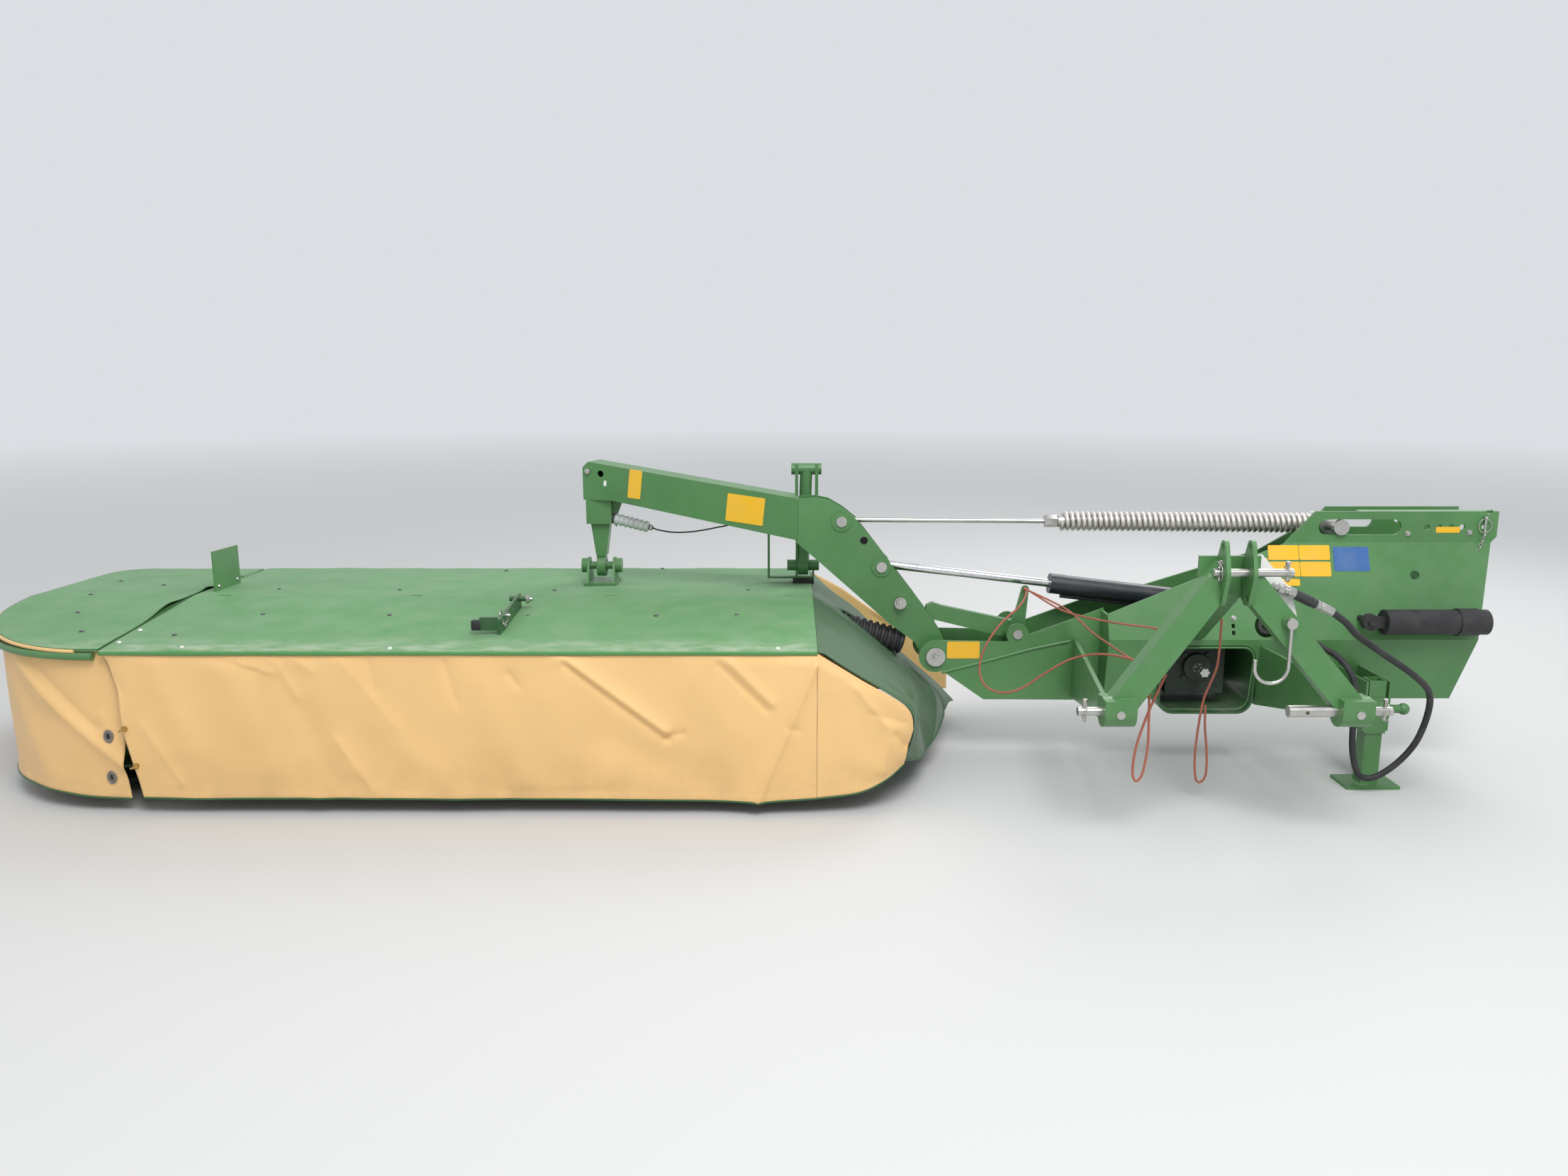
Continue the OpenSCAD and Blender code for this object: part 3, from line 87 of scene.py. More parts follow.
class Wire:
    """A socket on which Python arithmetic adds Math nodes."""

    def __init__(self, tree: bpy.types.NodeTree, socket: bpy.types.NodeSocket) -> None:
        """Keep the tree and the output socket."""
        self.tree = tree
        self.socket = socket

    def math(self, operation: str, *others: "Wire | float") -> "Wire":
        """Add one Math node.

        Args:
            operation: The node's operation.
            others: The second and third values.

        Returns:
            The node's result.
        """
        return self._join(operation, (self, *others))

    def _join(self, operation: str, values: "Sequence[Wire | float]") -> "Wire":
        """Add a Math node with the values in their order and return its result."""
        node = self.tree.nodes.new("ShaderNodeMath")
        node.operation = operation
        for slot, value in zip(node.inputs, values):
            if isinstance(value, Wire):
                self.tree.links.new(value.socket, slot)
            else:
                slot.default_value = value
        return Wire(self.tree, node.outputs[0])

    def __add__(self, other: "Wire | float") -> "Wire":
        """Return the sum."""
        return self._join("ADD", (self, other))

    def __sub__(self, other: "Wire | float") -> "Wire":
        """Return the difference."""
        return self._join("SUBTRACT", (self, other))

    def __rsub__(self, other: float) -> "Wire":
        """Return the difference from a number."""
        return self._join("SUBTRACT", (other, self))

    def __mul__(self, other: "Wire | float") -> "Wire":
        """Return the product."""
        return self._join("MULTIPLY", (self, other))

    def __truediv__(self, other: "Wire | float") -> "Wire":
        """Return the quotient."""
        return self._join("DIVIDE", (self, other))

    def clamp(self, low: float = 0.0, high: float = 1.0) -> "Wire":
        """Return the value held between two limits."""
        return self._join("MINIMUM", (self._join("MAXIMUM", (self, low)), high))

    def ramp(self, start: float, end: float) -> "Wire":
        """Return 0 at start and 1 at end, straight between them."""
        return ((self - start) / (end - start)).clamp()


class Graph:
    """The node graph of one material."""

    def __init__(self, name: str) -> None:
        """Start a material with its shader and output."""
        self.material = bpy.data.materials.new(name)
        self.material.use_nodes = True
        self.tree = self.material.node_tree
        self.tree.nodes.clear()
        self.shader = self.tree.nodes.new("ShaderNodeBsdfPrincipled")
        self.output = self.tree.nodes.new("ShaderNodeOutputMaterial")
        self.tree.links.new(self.shader.outputs[0], self.output.inputs[0])

    def add(
        self,
        kind: str,
        settings: dict[str, object] | None = None,
        inputs: dict[str | int, object] | None = None,
        output: str | int = 0,
    ) -> Wire:
        """Add a node.

        Args:
            kind: The node's type.
            settings: Its own settings, set before its sockets.
            inputs: Values or links for its sockets, by name or number.
            output: The output that is wanted.

        Returns:
            That output.
        """
        node = self.tree.nodes.new(kind)
        for key, value in (settings or {}).items():
            setattr(node, key, value)
        for key, value in (inputs or {}).items():
            self._fill(node.inputs[key], value)
        return Wire(self.tree, node.outputs[output])

    def _fill(self, slot: bpy.types.NodeSocket, value: object) -> None:
        """Link a wire to a socket, or set its value."""
        if isinstance(value, Wire):
            self.tree.links.new(value.socket, slot)
        elif isinstance(value, tuple) and slot.type == "RGBA":
            slot.default_value = (*value[:3], 1.0)
        else:
            slot.default_value = value

    def coordinate(self, kind: str = "Object", axis: str | None = None) -> Wire:
        """Return the coordinates of a kind, or one axis of them."""
        place = self.add("ShaderNodeTexCoord", output=kind)
        return place if axis is None else self.add("ShaderNodeSeparateXYZ", inputs={0: place}, output=axis)

    def noise(
        self, scale: float, detail: float = 3.0, rough: float = 0.55, stretch: Point | None = None
    ) -> Wire:
        """Return a noise of a scale in waves per metre, drawn out along the axes if wanted."""
        place = self.coordinate()
        if stretch is not None:
            place = self.add("ShaderNodeMapping", inputs={"Vector": place, "Scale": stretch})
        sockets = {"Vector": place, "Scale": scale, "Detail": detail, "Roughness": rough}
        return self.add("ShaderNodeTexNoise", inputs=sockets, output="Fac")

    def mix(self, factor: Wire | float, first: object, second: object) -> Wire:
        """Return a colour between two colours."""
        return self.add("ShaderNodeMix", {"data_type": "RGBA"}, {0: factor, 6: first, 7: second}, output=2)

    def bump(self, height: Wire, strength: float, distance: float) -> None:
        """Feed a height into the shader's normal."""
        sockets = {"Height": height, "Strength": strength, "Distance": distance}
        self.feed("Normal", self.add("ShaderNodeBump", inputs=sockets))

    def fade(self, colour: Colour, strength: float, start: float, end: float) -> None:
        """Turn the surface into plain light far from the middle.

        Args:
            colour: The light's colour.
            strength: Its strength.
            start: The distance at which it begins, in metres.
            end: The distance from which only light is left.
        """
        place = self.coordinate()
        reach = self.add("ShaderNodeVectorMath", {"operation": "LENGTH"}, {0: place}, output="Value")
        glow = self.add("ShaderNodeEmission", inputs={"Color": colour, "Strength": strength})
        surface = Wire(self.tree, self.shader.outputs[0])
        whole = self.add("ShaderNodeMixShader", inputs={0: reach.ramp(start, end), 1: surface, 2: glow})
        self.tree.links.new(whole.socket, self.output.inputs[0])

    def feed(self, name: str, value: object) -> None:
        """Link or set one of the shader's sockets."""
        self._fill(self.shader.inputs[name], value)


def shade(colour: Colour, factor: float) -> Colour:
    """Return a colour made darker or lighter."""
    return (colour[0] * factor, colour[1] * factor, colour[2] * factor)


@dataclass(frozen=True)
class Finish:
    """A named surface with its main colour."""

    name: str
    colour: Colour

    def build(self) -> bpy.types.Material:
        """Return the material."""
        graph = Graph(self.name)
        self.draw(graph)
        return graph.material

    def draw(self, graph: Graph) -> None:
        """Fill the material's graph."""
        raise NotImplementedError


@dataclass(frozen=True)
class Paint(Finish):
    """Machine paint with dust on what faces up, dull patches and a few chips."""

    roughness: float = 0.38
    dust: float = 0.28
    dust_colour: Colour = (0.34, 0.33, 0.28)
    chips: float = 0.5
    metal: Colour = (0.30, 0.30, 0.29)
    broad: Waves = (2.6, 4.0)
    cloudy: Waves = (11.0, 5.0, 0.62)
    fine: Waves = (140.0,)
    spots: Waves = (46.0, 6.0, 0.7)
    coat: float = 0.18
    coat_roughness: float = 0.22
    relief: float = 0.16
    depth: float = 0.0008

    def draw(self, graph: Graph) -> None:
        """Fill the material's graph."""
        broad, cloudy, fine = graph.noise(*self.broad), graph.noise(*self.cloudy), graph.noise(*self.fine)
        base = graph.mix(broad.ramp(0.3, 0.7), shade(self.colour, 0.86), shade(self.colour, 1.10))
        up = graph.coordinate("Normal", "Z").ramp(0.25, 1.0)
        film = (up * 0.75 + 0.25) * cloudy.ramp(0.36, 0.74) * self.dust
        dusty = graph.mix(film.clamp(), base, self.dust_colour)
        chip = (graph.noise(*self.spots).ramp(0.735, 0.75) * self.chips).clamp()
        graph.feed("Base Color", graph.mix(chip, dusty, self.metal))
        graph.feed("Roughness", (cloudy * 0.22 + film * 0.9 + (self.roughness - 0.08)).clamp(0.12, 0.95))
        graph.feed("Coat Weight", self.coat)
        graph.feed("Coat Roughness", self.coat_roughness)
        graph.bump(fine * 0.35 + cloudy * 0.4 - chip * 0.8, self.relief, self.depth)


@dataclass(frozen=True)
class Metal(Finish):
    """Bare or plated steel with brushed streaks and dull or rusty patches."""

    roughness: float = 0.32
    streaks: Point = (6.0, 60.0, 60.0)
    rust: float = 0.0
    rust_colour: Colour = (0.20, 0.085, 0.035)
    relief: float = 0.10
    depth: float = 0.0005
    brushing: Waves = (18.0, 6.0, 0.6)
    patches: Waves = (24.0, 5.0, 0.65)

    def draw(self, graph: Graph) -> None:
        """Fill the material's graph."""
        brushed, patches = graph.noise(*self.brushing, self.streaks), graph.noise(*self.patches)
        base = graph.mix(patches.ramp(0.32, 0.7), shade(self.colour, 0.74), self.colour)
        stain = (patches.ramp(0.56, 0.7) * self.rust).clamp()
        graph.feed("Base Color", graph.mix(stain, base, self.rust_colour))
        graph.feed("Metallic", (1.0 - stain * 0.8).clamp())
        graph.feed("Roughness", (brushed * 0.22 + stain * 0.4 + (self.roughness - 0.1)).clamp(0.05, 0.9))
        graph.bump(brushed * 0.5 + patches * 0.5, self.relief, self.depth)


@dataclass(frozen=True)
class Rubber(Finish):
    """Black rubber or plastic, greyed where dust lies."""

    colour: Colour = (0.018, 0.018, 0.020)
    roughness: float = 0.62
    dust: float = 0.22
    dust_colour: Colour = (0.16, 0.155, 0.14)
    cloudy: Waves = (14.0, 5.0, 0.6)
    grain: Waves = (380.0, 2.0)
    relief: float = 0.18
    depth: float = 0.0006

    def draw(self, graph: Graph) -> None:
        """Fill the material's graph."""
        cloudy, grain = graph.noise(*self.cloudy), graph.noise(*self.grain)
        film = (cloudy.ramp(0.4, 0.8) * self.dust).clamp()
        graph.feed("Base Color", graph.mix(film, self.colour, self.dust_colour))
        graph.feed("Roughness", (cloudy * 0.18 + (self.roughness - 0.06)).clamp(0.2, 0.95))
        graph.bump(grain * 0.4 + cloudy * 0.6, self.relief, self.depth)


@dataclass(frozen=True)
class CoatedCloth(Finish):
    """PVC-coated guard cloth: a fine weave under a soft skin, creases and dirt towards the hem."""

    dirt_colour: Colour
    dirt_low: float = 0.05
    dirt_high: float = 0.24
    dirt: float = 0.35
    dust: float = 0.0
    dust_colour: Colour = (0.50, 0.53, 0.42)
    edge_dust: float = 0.0
    edge_place: Spot = (-0.50, -0.36)
    weave: float = 420.0
    weave_relief: float = 0.14
    broad: Waves = (1.7,)
    cloudy: Waves = (8.0, 5.0, 0.62)
    scuffing: Waves = (30.0, 6.0, 0.7, (0.5, 0.5, 1.6))
    smearing: Waves = (9.0, 6.0, 0.66, (0.9, 2.2, 1.0))
    roughness: float = 0.49
    sheen: float = 0.12
    sheen_roughness: float = 0.5
    relief: float = 0.20
    depth: float = 0.0011

    def draw(self, graph: Graph) -> None:
        """Fill the material's graph."""
        broad, cloudy, scuffs = (graph.noise(*waves) for waves in (self.broad, self.cloudy, self.scuffing))
        low = 1.0 - graph.coordinate(axis="Z").ramp(self.dirt_low, self.dirt_high)
        grime = ((low * 0.8 + 0.12) * cloudy.ramp(0.34, 0.72) + scuffs.ramp(0.66, 0.82) * 0.5) * self.dirt
        up = graph.coordinate("Normal", "Z").ramp(0.4, 1.0)
        film = up * cloudy.ramp(0.25, 0.85) * self.dust
        if self.edge_dust:
            smears = graph.noise(*self.smearing).ramp(0.38, 0.66)
            edge = 1.0 - graph.coordinate(axis="Y").ramp(*self.edge_place)
            film = film + edge * smears * up * self.edge_dust
        base = graph.mix(broad.ramp(0.3, 0.7), shade(self.colour, 0.93), shade(self.colour, 1.04))
        soiled = graph.mix(grime.clamp(), base, self.dirt_colour)
        graph.feed("Base Color", graph.mix(film.clamp(), soiled, self.dust_colour))
        graph.feed("Roughness", (cloudy * 0.16 + film * 0.5 + self.roughness).clamp(0.3, 0.95))
        graph.feed("Sheen Weight", self.sheen)
        graph.feed("Sheen Roughness", self.sheen_roughness)
        threads = (self._threads(graph, "X") + self._threads(graph, "Y")) * self.weave_relief
        graph.bump(threads + cloudy * 0.7 + scuffs * 0.2, self.relief, self.depth)

    def _threads(self, graph: Graph, direction: str) -> Wire:
        """Return the threads that run across one direction."""
        sockets = {"Vector": graph.coordinate("UV"), "Scale": self.weave, "Distortion": 0.4}
        return graph.add("ShaderNodeTexWave", {"bands_direction": direction}, sockets, output="Fac")


@dataclass(frozen=True)
class Braid(Finish):
    """Laid or braided cord whose strands follow the cord's own UV map, with painted shade in the grooves
    between strands and a painted highlight on their crowns.
    """

    strands: float
    roughness: float = 0.8
    lay: float = 3.0
    soiling: Waves = (20.0, 4.0)
    relief: float = 0.5
    depth: float = 0.0010

    def draw(self, graph: Graph) -> None:
        """Fill the material's graph."""
        u, v = graph.coordinate("UV", "X"), graph.coordinate("UV", "Y")
        twist = ((u * self.strands + v * self.lay) * math.tau).math("SINE")
        cross = ((u * self.strands - v * self.lay) * math.tau).math("SINE")
        height = (twist.math("MAXIMUM", cross) * 0.5 + 0.5).clamp()
        dirt = (graph.noise(*self.soiling).ramp(0.45, 0.8) * 0.45).clamp()
        # Painted shade and highlight: the colour is darker in the grooves between strands and lighter on
        # their crowns.
        base = graph.mix(height, shade(self.colour, 0.6), shade(self.colour, 1.12))
        graph.feed("Base Color", graph.mix(dirt, base, shade(self.colour, 0.45)))
        graph.feed("Roughness", self.roughness)
        graph.bump(height, self.relief, self.depth)


@dataclass(frozen=True)
class Casting(Finish):
    """Painted casting with soil packed in its low places; its near-black colour is partly its own dark paint
    and partly painted shade.
    """

    soil: Colour
    cloudy: Waves = (16.0, 6.0, 0.65)
    sandy: Waves = (260.0,)
    relief: float = 0.3
    depth: float = 0.0009

    def draw(self, graph: Graph) -> None:
        """Fill the material's graph."""
        cloudy, sandy = graph.noise(*self.cloudy), graph.noise(*self.sandy)
        graph.feed("Base Color", graph.mix(cloudy.ramp(0.42, 0.72) * 0.6, self.colour, self.soil))
        graph.feed("Roughness", (cloudy * 0.3 + 0.45).clamp(0.3, 0.95))
        graph.bump(sandy * 0.6 + cloudy * 0.6, self.relief, self.depth)


@dataclass(frozen=True)
class Sticker(Finish):
    """A blank printed plate, scuffed and soiled by weather."""

    soil: Colour = (0.42, 0.40, 0.32)
    cloudy: Waves = (9.0, 4.0)
    scuffing: Waves = (90.0, 5.0, 0.7)
    relief: float = 0.08
    depth: float = 0.0004

    def draw(self, graph: Graph) -> None:
        """Fill the material's graph."""
        cloudy, scuffs = graph.noise(*self.cloudy), graph.noise(*self.scuffing)
        worn = graph.mix(scuffs.ramp(0.68, 0.82) * 0.45, self.colour, shade(self.colour, 0.6))
        graph.feed("Base Color", graph.mix(cloudy.ramp(0.45, 0.8) * 0.14, worn, self.soil))
        graph.feed("Roughness", (cloudy * 0.25 + 0.3).clamp())
        graph.bump(scuffs, self.relief, self.depth)


GREEN = (0.071, 0.212, 0.064)
DARK_GREEN = (0.022, 0.098, 0.026)
CREAM = (0.835, 0.530, 0.222)
COVER_GREEN = (0.075, 0.262, 0.072)

FINISHES: dict[str, Finish] = {
    "green_paint": Paint("green_paint", GREEN),
    "dark_green_paint": Paint("dark_green_paint", DARK_GREEN, dust=0.4),
    "steel": Metal("plated_steel", (0.62, 0.61, 0.58), 0.34, rust=0.25),
    "chrome_rod": Metal("polished_rod", (0.80, 0.80, 0.82), 0.17, (4.0, 4.0, 4.0), relief=0.01),
    "black_paint": Paint("black_paint", (0.018, 0.022, 0.028), 0.34, dust=0.16, metal=(0.12, 0.12, 0.12)),
    "rubber": Rubber("black_rubber"),
    "curtain": CoatedCloth("cream_cloth", CREAM, (0.34, 0.22, 0.11)),
    "rope": Braid("red_cord", (0.42, 0.13, 0.085), 220.0),
    "white_plate": Paint("white_paint", (0.86, 0.86, 0.84), 0.4, dust=0.1),
    # Partly painted shade: the casting's colour is darkened to the shade inside the gearbox's opening.
    "cast": Casting("dark_casting", (0.016, 0.028, 0.020), (0.060, 0.060, 0.046)),
    "cover_cloth": CoatedCloth(
        "green_cloth", COVER_GREEN, (0.14, 0.19, 0.11), -1.0, 0.0, dirt=0.2, dust=0.24, edge_dust=0.6
    ),
    # Painted shade: the apron is the cover's green cloth darkened to 0.38 for the shade under the gooseneck;
    # it gets darker again towards its bottom.
    "apron_cloth": CoatedCloth(
        "green_apron_cloth_painted_shade", shade(COVER_GREEN, 0.38), (0.035, 0.055, 0.030), dirt_high=0.5, dirt=0.5,
        dust=0.03,
    ),
    "spring_steel": Metal("spring_steel", (0.84, 0.81, 0.76), 0.40, (40.0, 40.0, 40.0), rust=0.18),
    "yellow_plate": Sticker("yellow_plate", (0.86, 0.47, 0.012)),
    "blue_plate": Sticker("blue_plate", (0.035, 0.13, 0.36)),
    "white_label": Sticker("white_label", (0.78, 0.78, 0.74)),
    "brass": Metal("brass", (0.62, 0.42, 0.14), 0.3),
    "hem": Paint("hem_green", (0.020, 0.10, 0.030), 0.5, 0.1, chips=0.0),
    "pale_plastic": Rubber("pale_plastic", (0.52, 0.53, 0.53), 0.45, 0.2),
    "dark_sleeve": Rubber("dark_sleeve", (0.030, 0.031, 0.034), 0.42, 0.12),
    # Painted shade: a near-black finish for discs that stand in for the dark inside of a hole.
    "black_hole": Rubber("hole_shade_paint", (0.006, 0.007, 0.006), 0.9, 0.0),
    "eyelet": Metal("eyelet_steel", (0.40, 0.38, 0.34), 0.4, rust=0.2),
}


@cache
def finish(name: str) -> bpy.types.Material:
    """Return the material of a finish, made once."""
    return FINISHES[name].build()


def link(name: str, data: bpy.types.ID) -> bpy.types.Object:
    """Put an object with the given data in the scene."""
    made = bpy.data.objects.new(name, data)
    bpy.context.scene.collection.objects.link(made)
    return made


def mesh_object(name: str, shape: bmesh.types.BMesh, material: bpy.types.Material) -> bpy.types.Object:
    """Turn a shape into a smooth object in the scene."""
    data = bpy.data.meshes.new(name)
    shape.to_mesh(data)
    shape.free()
    data.shade_smooth()
    data.materials.append(material)
    return link(name, data)


def placed(centre: Vector, axis: Vector) -> Matrix:
    """Return the placing of a shape drawn upright at the origin."""
    return Matrix.Translation(centre) @ axis.normalized().to_track_quat("Z", "Y").to_matrix().to_4x4()


def square_to(direction: Vector) -> Vector:
    """Return a direction square to the given one."""
    ahead = direction.normalized()
    steep = abs(ahead.z) >= 0.9
    return ahead.cross((Axis.Y if steep else Axis.Z).vector).normalized()


def circle(middle: Vector, right: Vector, up: Vector, count: int) -> list[Vector]:
    """Return points round an ellipse with two half axes."""
    turns = [math.tau * k / count for k in range(count)]
    return [middle + right * math.cos(turn) + up * math.sin(turn) for turn in turns]


# A bolt's proportions, in diameters of its thread.
WASHER_RISE, WASHER_REACH = 0.16, 1.02
HEAD_RISE, HEAD_FOOT, HEAD_TOP = 0.62, 0.92, 0.86
STUB_START, STUB_RISE, STUB_FOOT, STUB_TOP = 0.60, 0.34, 0.5, 0.44


@dataclass
class Maker:
    """Collects shapes into one mesh and turns it into a piece that rides on a body."""

    name: str
    body: str
    finish_name: str
    slot: str = ""
    mesh: bmesh.types.BMesh = field(default_factory=bmesh.new)

    def turned(
        self,
        centre: Vector,
        axis: Vector,
        length: float,
        radius: float,
        sides: int = 24,
        end_radius: float | None = None,
        bevel: float = 0.0,
    ) -> None:
        """Add a round, cone or many-sided bar.

        Args:
            centre: The middle of its first face.
            axis: The direction that it runs in.
            length: Its length.
            radius: Its radius at the first face.
            sides: How many sides it has.
            end_radius: Its radius at the other face, when it tapers.
            bevel: The width of its rounded end edges.
        """
        made = bmesh.ops.create_cone(
            self.mesh,
            cap_ends=True,
            segments=sides,
            radius1=radius,
            radius2=radius if end_radius is None else end_radius,
            depth=length,
            matrix=placed(centre, axis) @ Matrix.Translation((0.0, 0.0, length / 2)),
        )
        faces = {f for v in made["verts"] for f in v.link_faces if len(f.verts) == sides}
        self._round([e for f in faces for e in f.edges], bevel)

    def box(
        self,
        middle: Vector,
        size: Sequence[float],
        bevel: float,
        turn: Matrix | None = None,
        upright: Vector | None = None,
        segments: int = 2,
    ) -> None:
        """Add a box with rounded edges.

        Args:
            middle: Its middle.
            size: Its size along its own axes.
            bevel: The width of its rounded edges.
            turn: Its turn, when it doesn't stand square.
            upright: The direction of the edges to round, when not all are.
            segments: How finely they are rounded.
        """
        place = Matrix.Translation(middle) @ (turn or Matrix.Identity(4)) @ Matrix.Diagonal((*size, 1.0))
        made = bmesh.ops.create_cube(self.mesh, size=1.0, matrix=place)
        edges = {edge for vertex in made["verts"] for edge in vertex.link_edges}
        if upright is not None:
            runs = {edge: (edge.verts[0].co - edge.verts[1].co).normalized() for edge in edges}
            edges = {edge for edge, run in runs.items() if abs(run.dot(upright)) > 0.9}
        self._round(edges, bevel, segments)

    def _round(self, edges: Iterable[bmesh.types.BMEdge], width: float, segments: int = 2) -> None:
        """Round some edges, if the width is more than nothing."""
        if width > 0:
            shape = {"offset": width, "segments": segments, "profile": 0.5, "affect": "EDGES"}
            bmesh.ops.bevel(self.mesh, geom=list(edges), material=-1, **shape)

    def base_ring(self, radius: float, sides: int) -> Ring:
        """Lay a ring about the origin and return its points and edges."""
        made = bmesh.ops.create_circle(self.mesh, cap_ends=False, segments=sides, radius=radius)
        return made["verts"], list({edge for vertex in made["verts"] for edge in vertex.link_edges})

    def _grow(self, edges: list[bmesh.types.BMEdge]) -> Ring:
        """Extrude a ring of edges and return the new ring's points and edges."""
        grown = bmesh.ops.extrude_edge_only(self.mesh, edges=edges)["geom"]
        ring = [item for item in grown if isinstance(item, bmesh.types.BMVert)]
        edges = [item for item in grown if isinstance(item, bmesh.types.BMEdge)]
        return ring, [edge for edge in edges if set(edge.verts) <= set(ring)]

    def tube(self, path: Sequence[Vector], radius: float, sides: int = 10, closed: bool = False) -> None:
        """Sweep a round section along a path.

        Args:
            path: The points that it follows.
            radius: Its radius.
            sides: How many sides it has.
            closed: Whether the path's end joins its start.
        """
        count = len(path)
        side = square_to(path[1] - path[0])
        ring, edges = self.base_ring(radius, sides)
        first, last_place = edges, Matrix.Identity(4)
        for index, point in enumerate(path):
            before = path[index - 1] if index or closed else path[0]
            after = path[(index + 1) % count] if index < count - 1 or closed else path[-1]
            ahead = (after - before).normalized()
            side = (side - ahead * side.dot(ahead)).normalized()
            turn = Matrix((side, ahead.cross(side), ahead)).transposed().to_4x4()
            place = Matrix.Translation(point) @ turn
            if index:
                ring, edges = self._grow(edges)
            bmesh.ops.transform(self.mesh, matrix=place @ last_place.inverted(), verts=ring)
            last_place = place
        if closed:
            bmesh.ops.bridge_loops(self.mesh, edges=[*first, *edges])
        else:
            bmesh.ops.contextual_create(self.mesh, geom=first)
            bmesh.ops.contextual_create(self.mesh, geom=edges)

    def ring_bar(self, centre: Vector, axis: Vector, length: float, radius: float, bore: float) -> None:
        """Add a round bar with a hole through it.

        Args:
            centre: The middle of its first face.
            axis: The direction that it runs in.
            length: Its length.
            radius: Its outer radius.
            bore: The hole's radius.
        """
        start, edges = self.base_ring(bore, 48)
        wall = set(start)
        for reach, rise in ((radius, 0.0), (radius, length), (bore, length)):
            ring, edges = self._grow(edges)
            for vertex in ring:
                flat = Vector((vertex.co.x, vertex.co.y, 0.0)).normalized() * reach
                vertex.co = Vector((flat.x, flat.y, rise))
            wall |= set(ring)
        closing = [edge for vertex in start for edge in vertex.link_edges if edge.is_boundary]
        bmesh.ops.bridge_loops(self.mesh, edges=list({*closing, *edges}))
        bmesh.ops.transform(self.mesh, matrix=placed(centre, axis), verts=list(wall))

    def bolt(self, seat: Vector, axis: Vector, size: float = 16.0, washer: bool = True) -> None:
        """Add a hex head with its washer and the stub of its thread.

        Args:
            seat: The point of the surface under it.
            axis: The way that the head points.
            size: The thread's diameter in millimetres.
            washer: Whether a washer lies under the head.
        """
        thread = size * MM
        head = seat
        if washer:
            self.turned(seat, axis, thread * WASHER_RISE, thread * WASHER_REACH, 20)
            head = seat + axis * thread * WASHER_RISE
        self.turned(head, axis, thread * HEAD_RISE, thread * HEAD_FOOT, 6, thread * HEAD_TOP)
        stub = head + axis * thread * STUB_START
        self.turned(stub, axis, thread * STUB_RISE, thread * STUB_FOOT, 14, thread * STUB_TOP)

    def done(self, smooth: float = 35.0) -> bpy.types.Object:
        """Turn what was collected into the piece, with edges sharp above an angle in degrees."""
        bmesh.ops.recalc_face_normals(self.mesh, faces=self.mesh.faces)
        piece = mesh_object(self.name, self.mesh, finish(self.finish_name))
        piece.data.set_sharp_from_angle(angle=math.radians(smooth))
        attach(piece, self.body)
        LOG.info("%s rides on %s with %d faces", self.name, self.body, len(piece.data.polygons))
        return piece


def turned_piece(name: str, body: str, finish_name: str, slot: str, *bars: Sequence) -> bpy.types.Object:
    """Make a piece of turned bars, each given by what Maker.turned takes."""
    maker = Maker(name, body, finish_name, slot)
    for bar in bars:
        maker.turned(*bar)
    return maker.done()


def spline_point(knots: Sequence[Vector], span: int, t: float) -> Vector:
    """Return a point of the smooth curve through some knots, with t from 0 to 1 within a span."""
    a, b = knots[max(span - 1, 0)], knots[span]
    c, d = knots[span + 1], knots[min(span + 2, len(knots) - 1)]
    return 0.5 * (
        2 * b + (c - a) * t + (2 * a - 5 * b + 4 * c - d) * t * t + (3 * b - a - 3 * c + d) * t * t * t
    )


def curve_value(knots: Sequence[Vector], t: float) -> Vector:
    """Return a point of the smooth curve through some knots, with t from 0 to 1 over the whole."""
    last = len(knots) - 1
    span = min(int(t * last), last - 1)
    return spline_point(knots, span, t * last - span)


def smooth_route(points: Sequence[Point], steps: int = 6) -> list[Vector]:
    """Return a smooth curve, in metres, through points of the drawing, with some steps between two."""
    knots = [at(*p) for p in points]
    spans = range(len(knots) - 1)
    return [spline_point(knots, span, step / steps) for span in spans for step in range(steps)] + [knots[-1]]


def path_length(path: Sequence[Vector]) -> float:
    """Return the length of a path."""
    return sum((b - a).length for a, b in zip(path, path[1:]))


HOSE_ROUTE: list[Point] = [
    (1685.5, -852, 743.8), (1703.1, -852.4, 735.5), (1721.2, -852.7, 727), (1790, -816, 682),
    (1847, -778, 634), (1940, -752, 572), (2038, -725, 510), (2120, -680, 455), (2180, -630, 405),
    (2212, -590, 345), (2217, -560, 262), (2195, -548, 185), (2142, -540, 112), (2075, -532, 62),
    (2025, -525, 70), (2003, -515, 140), (1998, -508, 226), (2003, -500, 336), (1990, -480, 420),
    (1960, -430, 472), (1915, -375, 500), (1860, -320, 518), (1815, -275, 533), (1786, -235, 539),
    (1783, -205, 540),
]
TRIP_ROPE_ROUTE: list[Point] = [
    (919, -72.5, 648), (919, -92, 648), (905, -140, 628), (870, -190, 600), (800, -225, 545),
    (745, -250, 470), (720, -270, 395), (735, -295, 335), (790, -325, 312), (860, -352, 335),
    (930, -382, 395), (1010, -430, 462), (1080, -520, 505), (1140, -640, 525), (1175, -760, 530),
    (1172, -850, 520), (1150, -900, 480), (1148, -915, 400), (1148, -920, 300), (1135, -922, 215),
    (1116, -922, 192), (1104, -922, 225), (1112, -922, 310), (1140, -915, 400), (1172, -900, 470),
    (1205, -880, 530),
]
